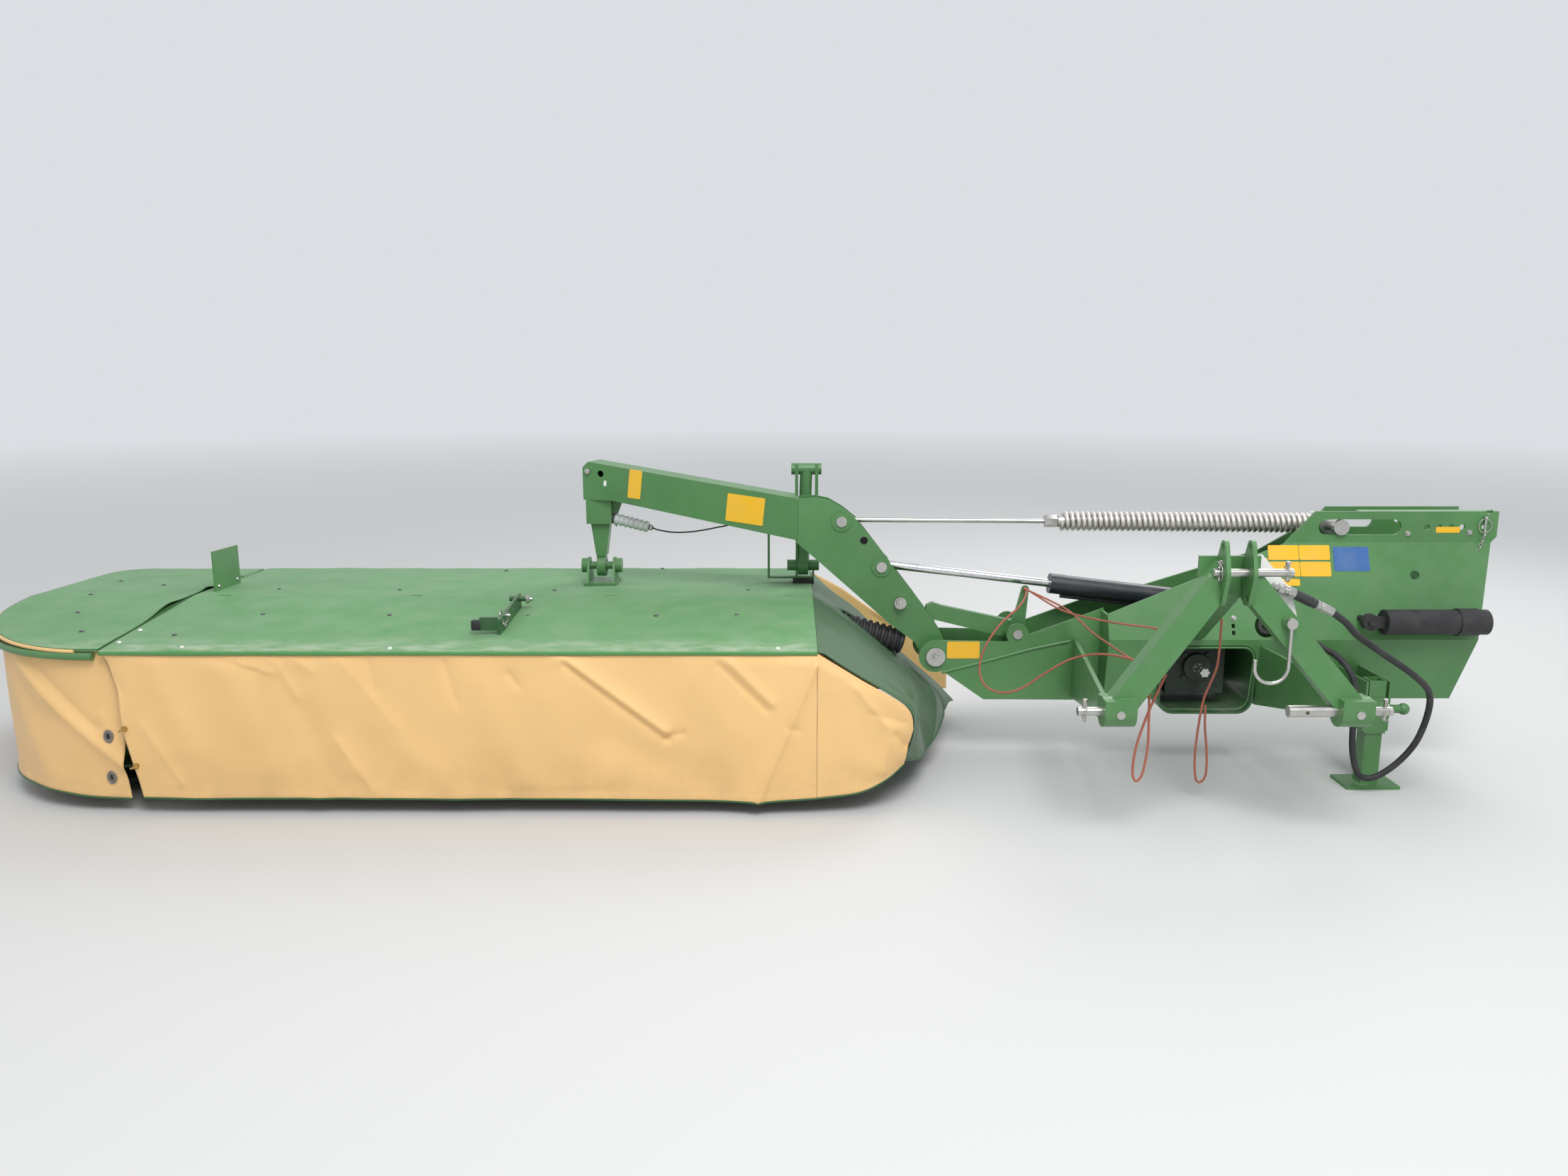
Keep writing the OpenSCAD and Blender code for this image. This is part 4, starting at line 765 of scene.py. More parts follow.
SPARE_ROPE_ROUTE: list[Point] = [
    (1488, -566, 640), (1487, -568, 590), (1486, -570, 540), (1480, -572, 470), (1458, -576, 410),
    (1440, -578, 356), (1428, -578, 250), (1424, -578, 150), (1432, -578, 75), (1450, -578, 62),
    (1466, -578, 90), (1464, -578, 170), (1452, -578, 260), (1448, -578, 340),
]
LONG_STRAND_ROUTE: list[Point] = [
    (921, -72.5, 651), (923, -96, 650), (1036, -155, 586), (1113, -305, 585), (1185, -445, 596),
    (1255, -525, 602), (1288, -575, 602),
]
SHORT_STRAND_ROUTE: list[Point] = [
    (916, -72.5, 645), (920, -100, 650), (1028, -130, 602), (1074, -185, 577), (1124, -275, 529),
    (1152, -425, 516), (1160, -600, 519), (1170, -750, 527),
]


@dataclass
class Cord:
    """A hose or rope that hangs along its own route."""

    name: str
    node: str | None
    route: Sequence[Point]
    diameter: float
    finish_name: str
    far_end: str
    stiffness: str
    body: str = "frame"

    def build(self, with_pieces: Sequence[bpy.types.Object] = ()) -> None:
        """Make the cord as a curve and log its length."""
        path = smooth_route(self.route)
        data = bpy.data.curves.new(self.name, "CURVE")
        data.dimensions = "3D"
        data.bevel_depth = self.diameter / 2
        data.bevel_resolution = 3
        data.use_fill_caps = True
        spline = data.splines.new("POLY")
        spline.points.add(len(path) - 1)
        for knot, point in zip(spline.points, path):
            knot.co = (*point, 1.0)
        spline.use_smooth = True
        data.materials.append(finish(self.finish_name))
        piece = link(self.name, data)
        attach(piece, self.body)
        if self.node is not None:
            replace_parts(piece, self.node)
        round(path_length(path), 3)
        LOG.info("%s is %.2f m long", self.name, path_length(path))


def build_cords() -> None:
    """Make the hydraulic hose with its ferrule, the two ropes and the two short strands of the first."""
    path = smooth_route(HOSE_ROUTE)
    start, ahead = path[0], path[3]
    bar = (start, ahead - start, 0.045, 0.0145, 20, None, 0.002)
    ferrule = turned_piece("hose_ferrule", "frame", "steel", "steel", bar)
    Cord("hose_tube", "hydraulic_hose", HOSE_ROUTE, 0.022, "rubber", "object", "stiff").build([ferrule])
    for name, node, route, diameter in (
        ("trip_rope_cord", "trip_rope", TRIP_ROPE_ROUTE, 0.008),
        ("spare_rope_cord", "spare_rope", SPARE_ROPE_ROUTE, 0.008),
        ("long_strand_cord", None, LONG_STRAND_ROUTE, 0.007),
        ("short_strand_cord", None, SHORT_STRAND_ROUTE, 0.007),
    ):
        Cord(name, node, route, diameter, "rope", "knot", "limp").build()


def mixed(a: float, b: float, t: float) -> float:
    """Return the value between two values."""
    return a + (b - a) * t


def stepped(points: Sequence[Spot], value: float) -> float:
    """Return the height of a broken line at a value, held level beyond its ends."""
    if value <= points[0][0]:
        return points[0][1]
    for (x0, y0), (x1, y1) in zip(points, points[1:]):
        if value <= x1:
            return mixed(y0, y1, (value - x0) / (x1 - x0))
    return points[-1][1]


# The cover's top, in millimetres: its height at the hinge and how it falls to the front and to the rear.
HINGE_Y, HINGE_Z = -75, 622
FRONT_FALL, FRONT_RUN, REAR_FALL, REAR_RUN = 56, 650, 10, 660


def cover_height(y: float) -> float:
    """Return the height of the cover's top above the floor, in millimetres."""
    if y < HINGE_Y:
        return HINGE_Z - FRONT_FALL * (HINGE_Y - y) / FRONT_RUN
    return HINGE_Z - REAR_FALL * (y - HINGE_Y) / REAR_RUN


@dataclass(frozen=True)
class Crease:
    """A fold between two points of a cloth's own plane, in millimetres."""

    start: Spot
    end: Spot
    depth: float
    width: float
    soft: bool = False
    crest: float = 4.0
    run_out: float = 1.3

    def lift(self, across: float, up: float) -> float:
        """Return how far the fold stands out at a place of the cloth, in millimetres."""
        run, rise = self.end[0] - self.start[0], self.end[1] - self.start[1]
        length = math.hypot(run, rise)
        dx, dz = across - self.start[0], up - self.start[1]
        along = (dx * run + dz * rise) / length
        off = (dx * rise - dz * run) / length
        beyond = max(-along, along - length, 0.0)
        fade = math.exp(-((beyond / (self.width * self.run_out)) ** 2))
        if self.soft:
            return self.depth * fade * math.exp(-((off / self.width) ** 2))
        ridge = math.sqrt(off * off + self.crest * self.crest) - self.crest
        return self.depth * fade * math.exp(-ridge / self.width)


def creases(*rows: Sequence[float]) -> list[Crease]:
    """Return creases from rows of start, end, depth and width, with a last 1 where the fold is soft."""
    return [Crease((a, b), (c, d), depth, width, bool(soft)) for a, b, c, d, depth, width, *soft in rows]


# How a hung cloth swells and ripples and how its hem stands out, in millimetres and in shares.
SWELL, SWELL_REACH = 5.0, 1.15
FINE_WAVES, FINE_SHARE = 3.1, 0.35
HEM_REACH, HEM_LIFT = 0.05, 0.9
# The rolled edges' radii, in metres.
HEM_RADIUS, RIM_RADIUS = 0.0034, 0.0035


def swell(v: float) -> float:
    """Return how far a hung cloth swells out between its top and its hem, in millimetres."""
    return SWELL * math.sin(math.pi * min(1.0, SWELL_REACH * (1 - v)))


@dataclass
class GuardCloth:
    """A hung or stretched sheet of coated cloth with its folds, ripples and hem."""

    name: str
    body: str
    place: Callable[[float, float], Vector]
    plane: Callable[[float, float], Spot]
    cells: tuple[int, int]
    folds: Sequence[Crease]
    finish_name: str = "curtain"
    slot: str = "curtain"
    nodes: Sequence[str] = ()
    hold: str = "hung"
    rests_on: Sequence[str] = ()
    thickness: float = 0.003
    ripple: float = 3.4
    ripple_scale: float = 2.6
    fixed_top: float = 0.08
    hem_finish: str | None = "hem"
    hole: tuple[Vector, Vector, float] | None = None

    def lift(self, u: float, v: float) -> float:
        """Return how far the cloth stands out of its plain surface, in metres."""
        across, up = self.plane(u, v)
        folds = sum(fold.lift(across, up) for fold in self.folds)
        sample = Vector((across, up, 0.0)) * MM * self.ripple_scale
        waves = (noise.noise(sample) + noise.noise(sample * FINE_WAVES) * FINE_SHARE) * self.ripple
        held = 1.0 if self.fixed_top <= 0 else min(1.0, (1.0 - v) / self.fixed_top)
        doubled = HEM_LIFT if v < HEM_REACH and self.hem_finish else 0.0
        return ((folds + waves) * held * held * (3 - 2 * held) + doubled) * MM

    def spot(self, u: float, v: float) -> tuple[Vector, Vector]:
        """Return the place and the outward direction of a point of the finished cloth."""
        step = 0.01
        here = self.place(u, v)
        right = self.place(min(u + step, 1.0), v) - self.place(max(u - step, 0.0), v)
        up = self.place(u, min(v + step, 1.0)) - self.place(u, max(v - step, 0.0))
        outward = right.cross(up).normalized()
        return here + outward * self.lift(u, v), outward

    def _size(self) -> Spot:
        """Return the cloth's own width and height, the longest of a few lines over it."""
        line = [k / 24 for k in range(25)]
        width = max(path_length([self.place(u, v) for u in line]) for v in (0.0, 0.5, 1.0))
        height = max(path_length([self.place(u, v) for v in line]) for u in (0.0, 0.25, 0.5, 0.75, 1.0))
        return width, height

    def build(self) -> None:
        """Make the cloth and its hem."""
        shape = bmesh.new()
        bmesh.ops.create_grid(shape, x_segments=self.cells[0], y_segments=self.cells[1], size=0.5)
        layer = shape.loops.layers.uv.new("cloth")
        seats = [(vertex, vertex.co.x + 0.5, vertex.co.y + 0.5) for vertex in shape.verts]
        width, height = self._size()
        for loop in (loop for face in shape.faces for loop in face.loops):
            spot = loop.vert.co
            loop[layer].uv = ((spot.x + 0.5) * width, (spot.y + 0.5) * height)
        for vertex, u, v in seats:
            vertex.co = self.place(u, v)
        area = sum(face.calc_area() for face in shape.faces)
        shape.normal_update()
        for vertex, move in [(vertex, vertex.normal * self.lift(u, v)) for vertex, u, v in seats]:
            vertex.co += move
        edge = [vertex.co.copy() for vertex, u, v in sorted(seats, key=lambda seat: seat[1]) if v < 1e-4]
        if self.hole is not None:
            self._cut_hole(shape)
            area -= math.pi * self.hole[2] ** 2
        if self.hem_finish is not None:
            hem = Maker(self.name + "_hem", self.body, self.hem_finish, self.slot)
            hem.tube(edge, HEM_RADIUS, 6)
            hem.done()
        piece = mesh_object(self.name, shape, finish(self.finish_name))
        wall = piece.modifiers.new("wall", "SOLIDIFY")
        wall.thickness = self.thickness
        wall.offset = -1.0
        self._attach(piece)
        if self.nodes:
            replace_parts(piece, *self.nodes)

    def _attach(self, piece: bpy.types.Object) -> None:
        """Let the cloth go with its body."""
        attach(piece, self.body)

    def _cut_hole(self, shape: bmesh.types.BMesh) -> bpy.types.Object:
        """Cut a round hole about an axis into the cloth and return the binding of its rim."""
        base, axis, radius = self.hole

        def out(point: Vector) -> Vector:
            """Return the way from the axis to a point."""
            away = point - base
            return away - axis * away.dot(axis)

        def near(reach: float) -> list[bmesh.types.BMVert]:
            """Return the points about the axis, ahead of its base."""
            return [v for v in shape.verts if out(v.co).length < reach and (v.co - base).dot(axis) > 0]

        bmesh.ops.delete(shape, geom=near(radius), context="VERTS")
        rim = [v for v in near(radius + 0.03) if v.is_boundary]
        for vertex in rim:
            away = out(vertex.co)
            vertex.co += away.normalized() * (radius - away.length)
        side = square_to(axis)
        other = axis.cross(side)
        rim.sort(key=lambda v: math.atan2(out(v.co).dot(other), out(v.co).dot(side)))
        binding = Maker(self.name + "_rim", self.body, self.hem_finish or self.finish_name, self.slot)
        binding.tube([v.co.copy() for v in rim], RIM_RADIUS, 6, closed=True)
        return binding.done()


@dataclass
class HingedCloth(GuardCloth):
    """A sheet that lies over a hinge."""

    other_body: str = ""
    bend_start: Vector = field(default_factory=Vector)
    bend_end: Vector = field(default_factory=Vector)

    def _attach(self, piece: bpy.types.Object) -> None:
        """Bake the cloth's placing into its mesh."""
        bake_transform(piece)


@dataclass
class FrontGuard:
    """The long cream cloth under the folding half of the cover, with its catches."""

    left_edge: Sequence[Spot] = (
        (52, -2150), (120, -2162), (180, -2175), (300, -2197), (425, -2201), (490, -2218), (560, -2238),
    )
    hem_height: Sequence[Spot] = (
        (-2150, 60), (-1980, 55), (-1600, 57), (-1000, 54), (-500, 52), (-88, 47), (108, 58),
    )
    right_edge: float = 109.45
    face: float = -722.5
    low: float = 52.0
    high: float = 560.0
    top: float = 559.0
    catch_heights: Spot = (0.485, 0.225)
    catch_place: float = 0.0035
    catch_rise: float = 0.016
    catch_wire: float = 0.0036
    catch_ends: Sequence[Point] = ((-0.012, 0, -0.004), (0.014, 0, 0.004))
    button_radius: float = 0.011
    stud_radius: float = 0.0045

    def plane(self, u: float, v: float) -> Spot:
        """Return the place in the cloth's own plane."""
        x = mixed(stepped(self.left_edge, mixed(self.low, self.high, v)), self.right_edge, u)
        return x, mixed(stepped(self.hem_height, x), self.top, v)

    def place(self, u: float, v: float) -> Vector:
        """Return the plain surface's point."""
        x, z = self.plane(u, v)
        return at(x, self.face - swell(v), z)

    def build(self) -> None:
        """Make the cloth and the two catches on its free edge."""
        folds = creases(
            (-748, 562, -396, 296, 19, 17), (-716, 520, -392, 272, -15, 13), (-392, 276, -336, 286, -7, 9),
            (-640, 470, -420, 270, 6, 60, 1), (-202, 552, -43, 395, 11, 15), (-214, 520, -60, 372, -8, 12),
            (120, 562, -88, 50, 20, 110), (120, 562, -88, 50, 11, 9), (14, 312, 44, 300, -5, 9),
            (-1480, 250, -1380, 90, 7, 22), (-1690, 556, -1610, 420, 7, 24),
            (-1370, 556, -1350, 440, -5, 20), (-2120, 300, -2020, 120, 6, 26),
            (-2236, 545, -2195, 440, -7, 22), (-2090, 556, -1985, 250, 6, 50, 1),
            (-1905, 557, -1740, 500, -7, 16), (-1780, 520, -1690, 498, 7, 14),
            (-1620, 556, -1560, 505, 6, 18), (-905, 486, -880, 452, -7, 12),
            (-1850, 520, -1700, 180, 7, 70, 1), (-1640, 470, -1500, 120, -6, 46, 1),
            (-1480, 560, -1300, 330, 6, 40), (-1320, 300, -1120, 90, 7, 60, 1),
            (-1120, 530, -1085, 400, -6, 18), (-990, 440, -870, 130, 7, 55, 1),
            (-560, 250, -250, 120, -7, 70, 1), (-300, 470, -190, 300, 5, 60, 1),
            (-900, 60, -600, 75, -5, 30, 1), (-1560, 60, -1460, 150, 6, 34, 1),
        )
        cloth = GuardCloth(
            "front_cloth", "front_guard", self.place, self.plane, (360, 76), folds,
            nodes=("front_curtain",), rests_on=("front_flap",),
        )
        cloth.build()
        catches = Maker("cloth_catches", "front_guard", "brass", "steel")
        for v in self.catch_heights:
            seat, outward = cloth.spot(self.catch_place, v)
            catches.turned(seat - outward * 0.002, outward, 0.004, self.button_radius, 18, bevel=0.001)
            catches.turned(seat, outward, self.catch_rise, self.stud_radius, 12)
            left, right = (seat + outward * 0.014 + Vector(way) for way in self.catch_ends)
            catches.tube([left, seat + outward * self.catch_rise, right], self.catch_wire, 8)
        catches.done()


@dataclass
class SideGuard:
    """The cloth round the far end with its eyelets, and the cream roll over the bow."""

    centre_x: float = -2277.0
    centre_y: float = -125.0
    radius: float = 571.2
    rear: float = 452.0
    low: float = 60.0
    high: float = 560.0
    top_gap: float = 8.5
    outer_gap: float = 9.5
    outer_x: float = -2800.0
    edging_reach: float = 588.5
    edging_drop: float = 5.5
    edging_radius: float = 0.0062
    edging_start: Spot = (90.0, -20.0)
    edging_turns: Sequence[float] = tuple(3.0 * k for k in range(29))
    eyelet_place: float = 0.966
    eyelet_heights: Spot = (0.43, 0.145)
    eyelet_rings: Sequence[Sequence[float]] = (
        (0.0012, 0.0145, 0.021, 0.0032), (0.0022, 0.0085, 0.015, 0.0022),
    )
    hole_radius: float = 0.0105
    right_edge: Sequence[Spot] = (
        (45, -2203), (150, -2215), (190, -2213), (260, -2206), (425, -2207), (500, -2232), (580, -2258),
    )
    hem_height: Sequence[Spot] = ((0, 84), (300, 76), (700, 66), (1150, 70), (1400, 52), (1560, 45))

    def _path(self, s: float) -> Spot:
        """Return the plan point at a distance from the rear end, in millimetres."""
        side = self.rear - self.centre_y
        arc = self.radius * math.pi / 2
        if s <= side:
            return self.centre_x - self.radius, self.rear - s
        if s <= side + arc:
            angle = (s - side) / self.radius
            x, y = self.radius * math.cos(angle), self.radius * math.sin(angle)
            return self.centre_x - x, self.centre_y - y
        return self.centre_x + (s - side - arc), self.centre_y - self.radius

    def _spot(self, u: float, v: float) -> tuple[float, float, float, float]:
        """Return the plan point, the distance and the height."""
        reach = self.rear - self.centre_y + self.radius * math.pi / 2 - self.centre_x
        s = u * (reach + stepped(self.right_edge, mixed(self.low, self.high, v)))
        x, y = self._path(s)
        top = cover_height(y) - (self.top_gap if x > self.outer_x else self.outer_gap)
        return x, y, s, mixed(stepped(self.hem_height, s), top, v)

    def place(self, u: float, v: float) -> Vector:
        """Return the plain surface's point."""
        x, y, _, z = self._spot(u, v)
        return at(x, y, z)

    def plane(self, u: float, v: float) -> Spot:
        """Return the place in the cloth's own plane."""
        return self._spot(u, v)[2:]

    def build(self) -> None:
        """Make the cloth, its edging and its eyelets, with black discs of painted shade in the eyelets'
        holes.
        """
        folds = creases(
            (1110, 545, 1535, 165, 16, 24), (1190, 540, 1440, 300, -9, 18), (1030, 500, 1230, 150, 8, 60, 1),
            (1150, 470, 1240, 380, 6, 30), (1480, 330, 1540, 170, 6, 20), (760, 540, 900, 160, -7, 60, 1),
            (560, 560, 420, 140, 7, 55), (250, 560, 330, 120, -6, 60, 1), (90, 540, 60, 200, 5, 50, 1),
        )
        cloth = GuardCloth(
            "side_cloth", "side_guard", self.place, self.plane, (150, 56), folds,
            nodes=("side_curtain",), rests_on=("side_flap", "bow_tube"),
            ripple=3.0, ripple_scale=3.0, fixed_top=0.2,
        )
        cloth.build()
        self._edging()
        rings = Maker("cloth_eyelets", "side_guard", "eyelet", "steel")
        # Painted shade: black rubber discs in the eyelets stand in for the dark behind their holes.
        holes = Maker("cloth_eyelet_hole_shades", "side_guard", "rubber")
        for v in self.eyelet_heights:
            seat, outward = cloth.spot(self.eyelet_place, v)
            for rise, wide, high, wire in self.eyelet_rings:
                loop = circle(seat + outward * rise, Axis.X.vector * wide, Axis.Z.vector * high, 24)
                rings.tube(loop, wire, 8, closed=True)
            holes.turned(seat - outward * 0.001, outward, 0.0022, self.hole_radius, 20)
        rings.done()
        holes.done()

    def _edging(self) -> None:
        """Lay the cream roll over the bow."""
        edging = Maker("cloth_edging", "side_guard", "curtain")
        rim = [(self.centre_x - self.edging_reach, y) for y in self.edging_start]
        for angle in map(math.radians, self.edging_turns):
            x = self.centre_x - self.edging_reach * math.cos(angle)
            rim.append((x, self.centre_y - self.edging_reach * math.sin(angle)))
        edging.tube([at(x, y, cover_height(y) - self.edging_drop) for x, y in rim], self.edging_radius)
        edging.done(60)


@dataclass
class RearGuard:
    """The cream cloth along the rear, cut away towards the drive end."""

    left: float = -2236.0
    right: float = 720.0
    face: float = 583.5
    top_line: Sequence[Spot] = ((-2236, 603), (108, 603), (250, 528), (330, 470), (560, 310), (720, 152))
    low_line: Sequence[Spot] = ((-2236, 74), (-1400, 68), (-500, 74), (300, 70), (720, 76))

    def plane(self, u: float, v: float) -> Spot:
        """Return the place in the cloth's own plane."""
        x = mixed(self.right, self.left, u)
        return x, mixed(stepped(self.low_line, x), stepped(self.top_line, x), v)

    def place(self, u: float, v: float) -> Vector:
        """Return the plain surface's point."""
        x, z = self.plane(u, v)
        return at(x, self.face, z)

    def build(self) -> None:
        """Make the cloth."""
        folds = creases(
            (-2100, 590, -1900, 200, 7, 60, 1), (-1600, 590, -1450, 250, 8, 34),
            (-1250, 560, -1350, 120, -7, 60, 1), (-900, 590, -700, 240, 7, 40),
            (-420, 580, -520, 150, 8, 60, 1), (-60, 590, 150, 330, 8, 30), (150, 520, 260, 120, -7, 60, 1),
            (420, 390, 470, 110, 7, 44, 1),
        )
        GuardCloth(
            "rear_cloth", "mower", self.place, self.plane, (260, 48), folds,
            nodes=("rear_curtain",), rests_on=("rear_cover",), ripple=3.2,
        ).build()


@dataclass
class DriveEnd:
    """The cloth round the drive end: the green sloping sheet with its hole and the cream panel below it."""

    rows: Sequence[Sequence[Point]] = (
        (
            (110.3, -722, 562.3), (110.3, -560, 576.2), (110.3, -330, 596), (110.3, -75, 618),
            (110.3, 150, 614.6), (110.3, 380, 611.1), (110.3, 579.7, 608.1),
        ),
        (
            (250, -722, 474), (255, -560, 494), (268, -330, 508), (284, -60, 506), (290, 110, 506),
            (280, 350, 494), (250, 579.7, 470),
        ),
        (
            (407, -714, 375), (412, -560, 380), (424, -340, 372), (450, -70, 350), (470, 110, 340),
            (440, 360, 330), (380, 579.7, 330),
        ),
        (
            (436, -690, 290), (462, -540, 275), (500, -340, 250), (585, -60, 228), (622, 130, 202),
            (590, 370, 196), (480, 579.7, 200),
        ),
        (
            (412, -640, 165), (480, -480, 115), (533, -320, 100), (612, -100, 140), (660, 120, 140),
            (700, 335, 95), (560, 579.7, 90),
        ),
    )
    panel_top: Sequence[Point] = (
        (109.6, -722.5, 559), (250, -723, 471.5), (406, -715, 373), (434, -691, 290),
    )
    panel_hem: Sequence[Point] = (
        (109.6, -722.5, 58), (250, -709, 72), (340, -681, 105), (408, -649, 152),
    )
    boot_start: Point = (190, 0, 500)
    boot_end: Point = (465, 0, 425)
    boot_hole: float = 0.0585
    sheet_size: Spot = (1300.0, 620.0)

    def sheet_place(self, u: float, v: float) -> Vector:
        """Return the green sheet's plain point."""
        return curve_value([curve_value([at(*p) for p in row], u) for row in self.rows], 1.0 - v)

    def sheet_plane(self, u: float, v: float) -> Spot:
        """Return the place in the green sheet's own plane."""
        return u * self.sheet_size[0], v * self.sheet_size[1]

    def panel_place(self, u: float, v: float) -> Vector:
        """Return the cream panel's plain point."""
        top = curve_value([at(*p) for p in self.panel_top], u)
        low = curve_value([at(*p) for p in self.panel_hem], u)
        return low.lerp(top, v) - Vector((0.0, swell(v) * (1 - u) ** 2 * MM, 0.0))

    def panel_plane(self, u: float, v: float) -> Spot:
        """Return the place in the cream panel's own plane."""
        spot = (self.panel_place(u, v) - DRAWING_ORIGIN) / MM
        return spot.x, spot.z

    def build(self) -> None:
        """Make both sheets."""
        start, end = at(*self.boot_start), at(*self.boot_end)
        folds = creases(
            (0, 600, 120, 60, 9, 40), (120, 620, 175, 330, -8, 24), (175, 330, 150, 20, -7, 34),
            (640, 620, 560, 430, 7, 30), (520, 300, 250, 160, 11, 34), (700, 250, 520, 60, 12, 40),
            (760, 210, 760, 20, -9, 40), (900, 300, 980, 40, 10, 44), (420, 560, 360, 380, -6, 40, 1),
            (1000, 600, 1060, 300, 7, 40), (330, 240, 420, 20, -9, 50, 1), (1150, 400, 1200, 80, -7, 50, 1),
        )
        GuardCloth(
            "end_sheet", "mower", self.sheet_place, self.sheet_plane, (150, 84), folds,
            "apron_cloth", "green_paint", ("end_apron",), "stretched", ("rear_cover", "drive_head"),
            ripple_scale=4.0, fixed_top=0.05, hole=(start, (end - start).normalized(), self.boot_hole),
        ).build()
        folds = creases(
            (120, 562, -88, 50, 20, 110), (120, 562, -88, 50, 11, 9), (242, 438, 356, 292, 10, 16),
            (356, 292, 409, 228, -10, 12), (356, 292, 333, 150, 11, 20), (300, 350, 392, 318, -6, 16),
            (180, 420, 250, 180, 6, 50, 1), (370, 250, 395, 180, 6, 16),
        )
        GuardCloth(
            "end_panel", "mower", self.panel_place, self.panel_plane, (60, 56), folds,
            nodes=("end_curtain",), rests_on=("end_sheet",),
        ).build()


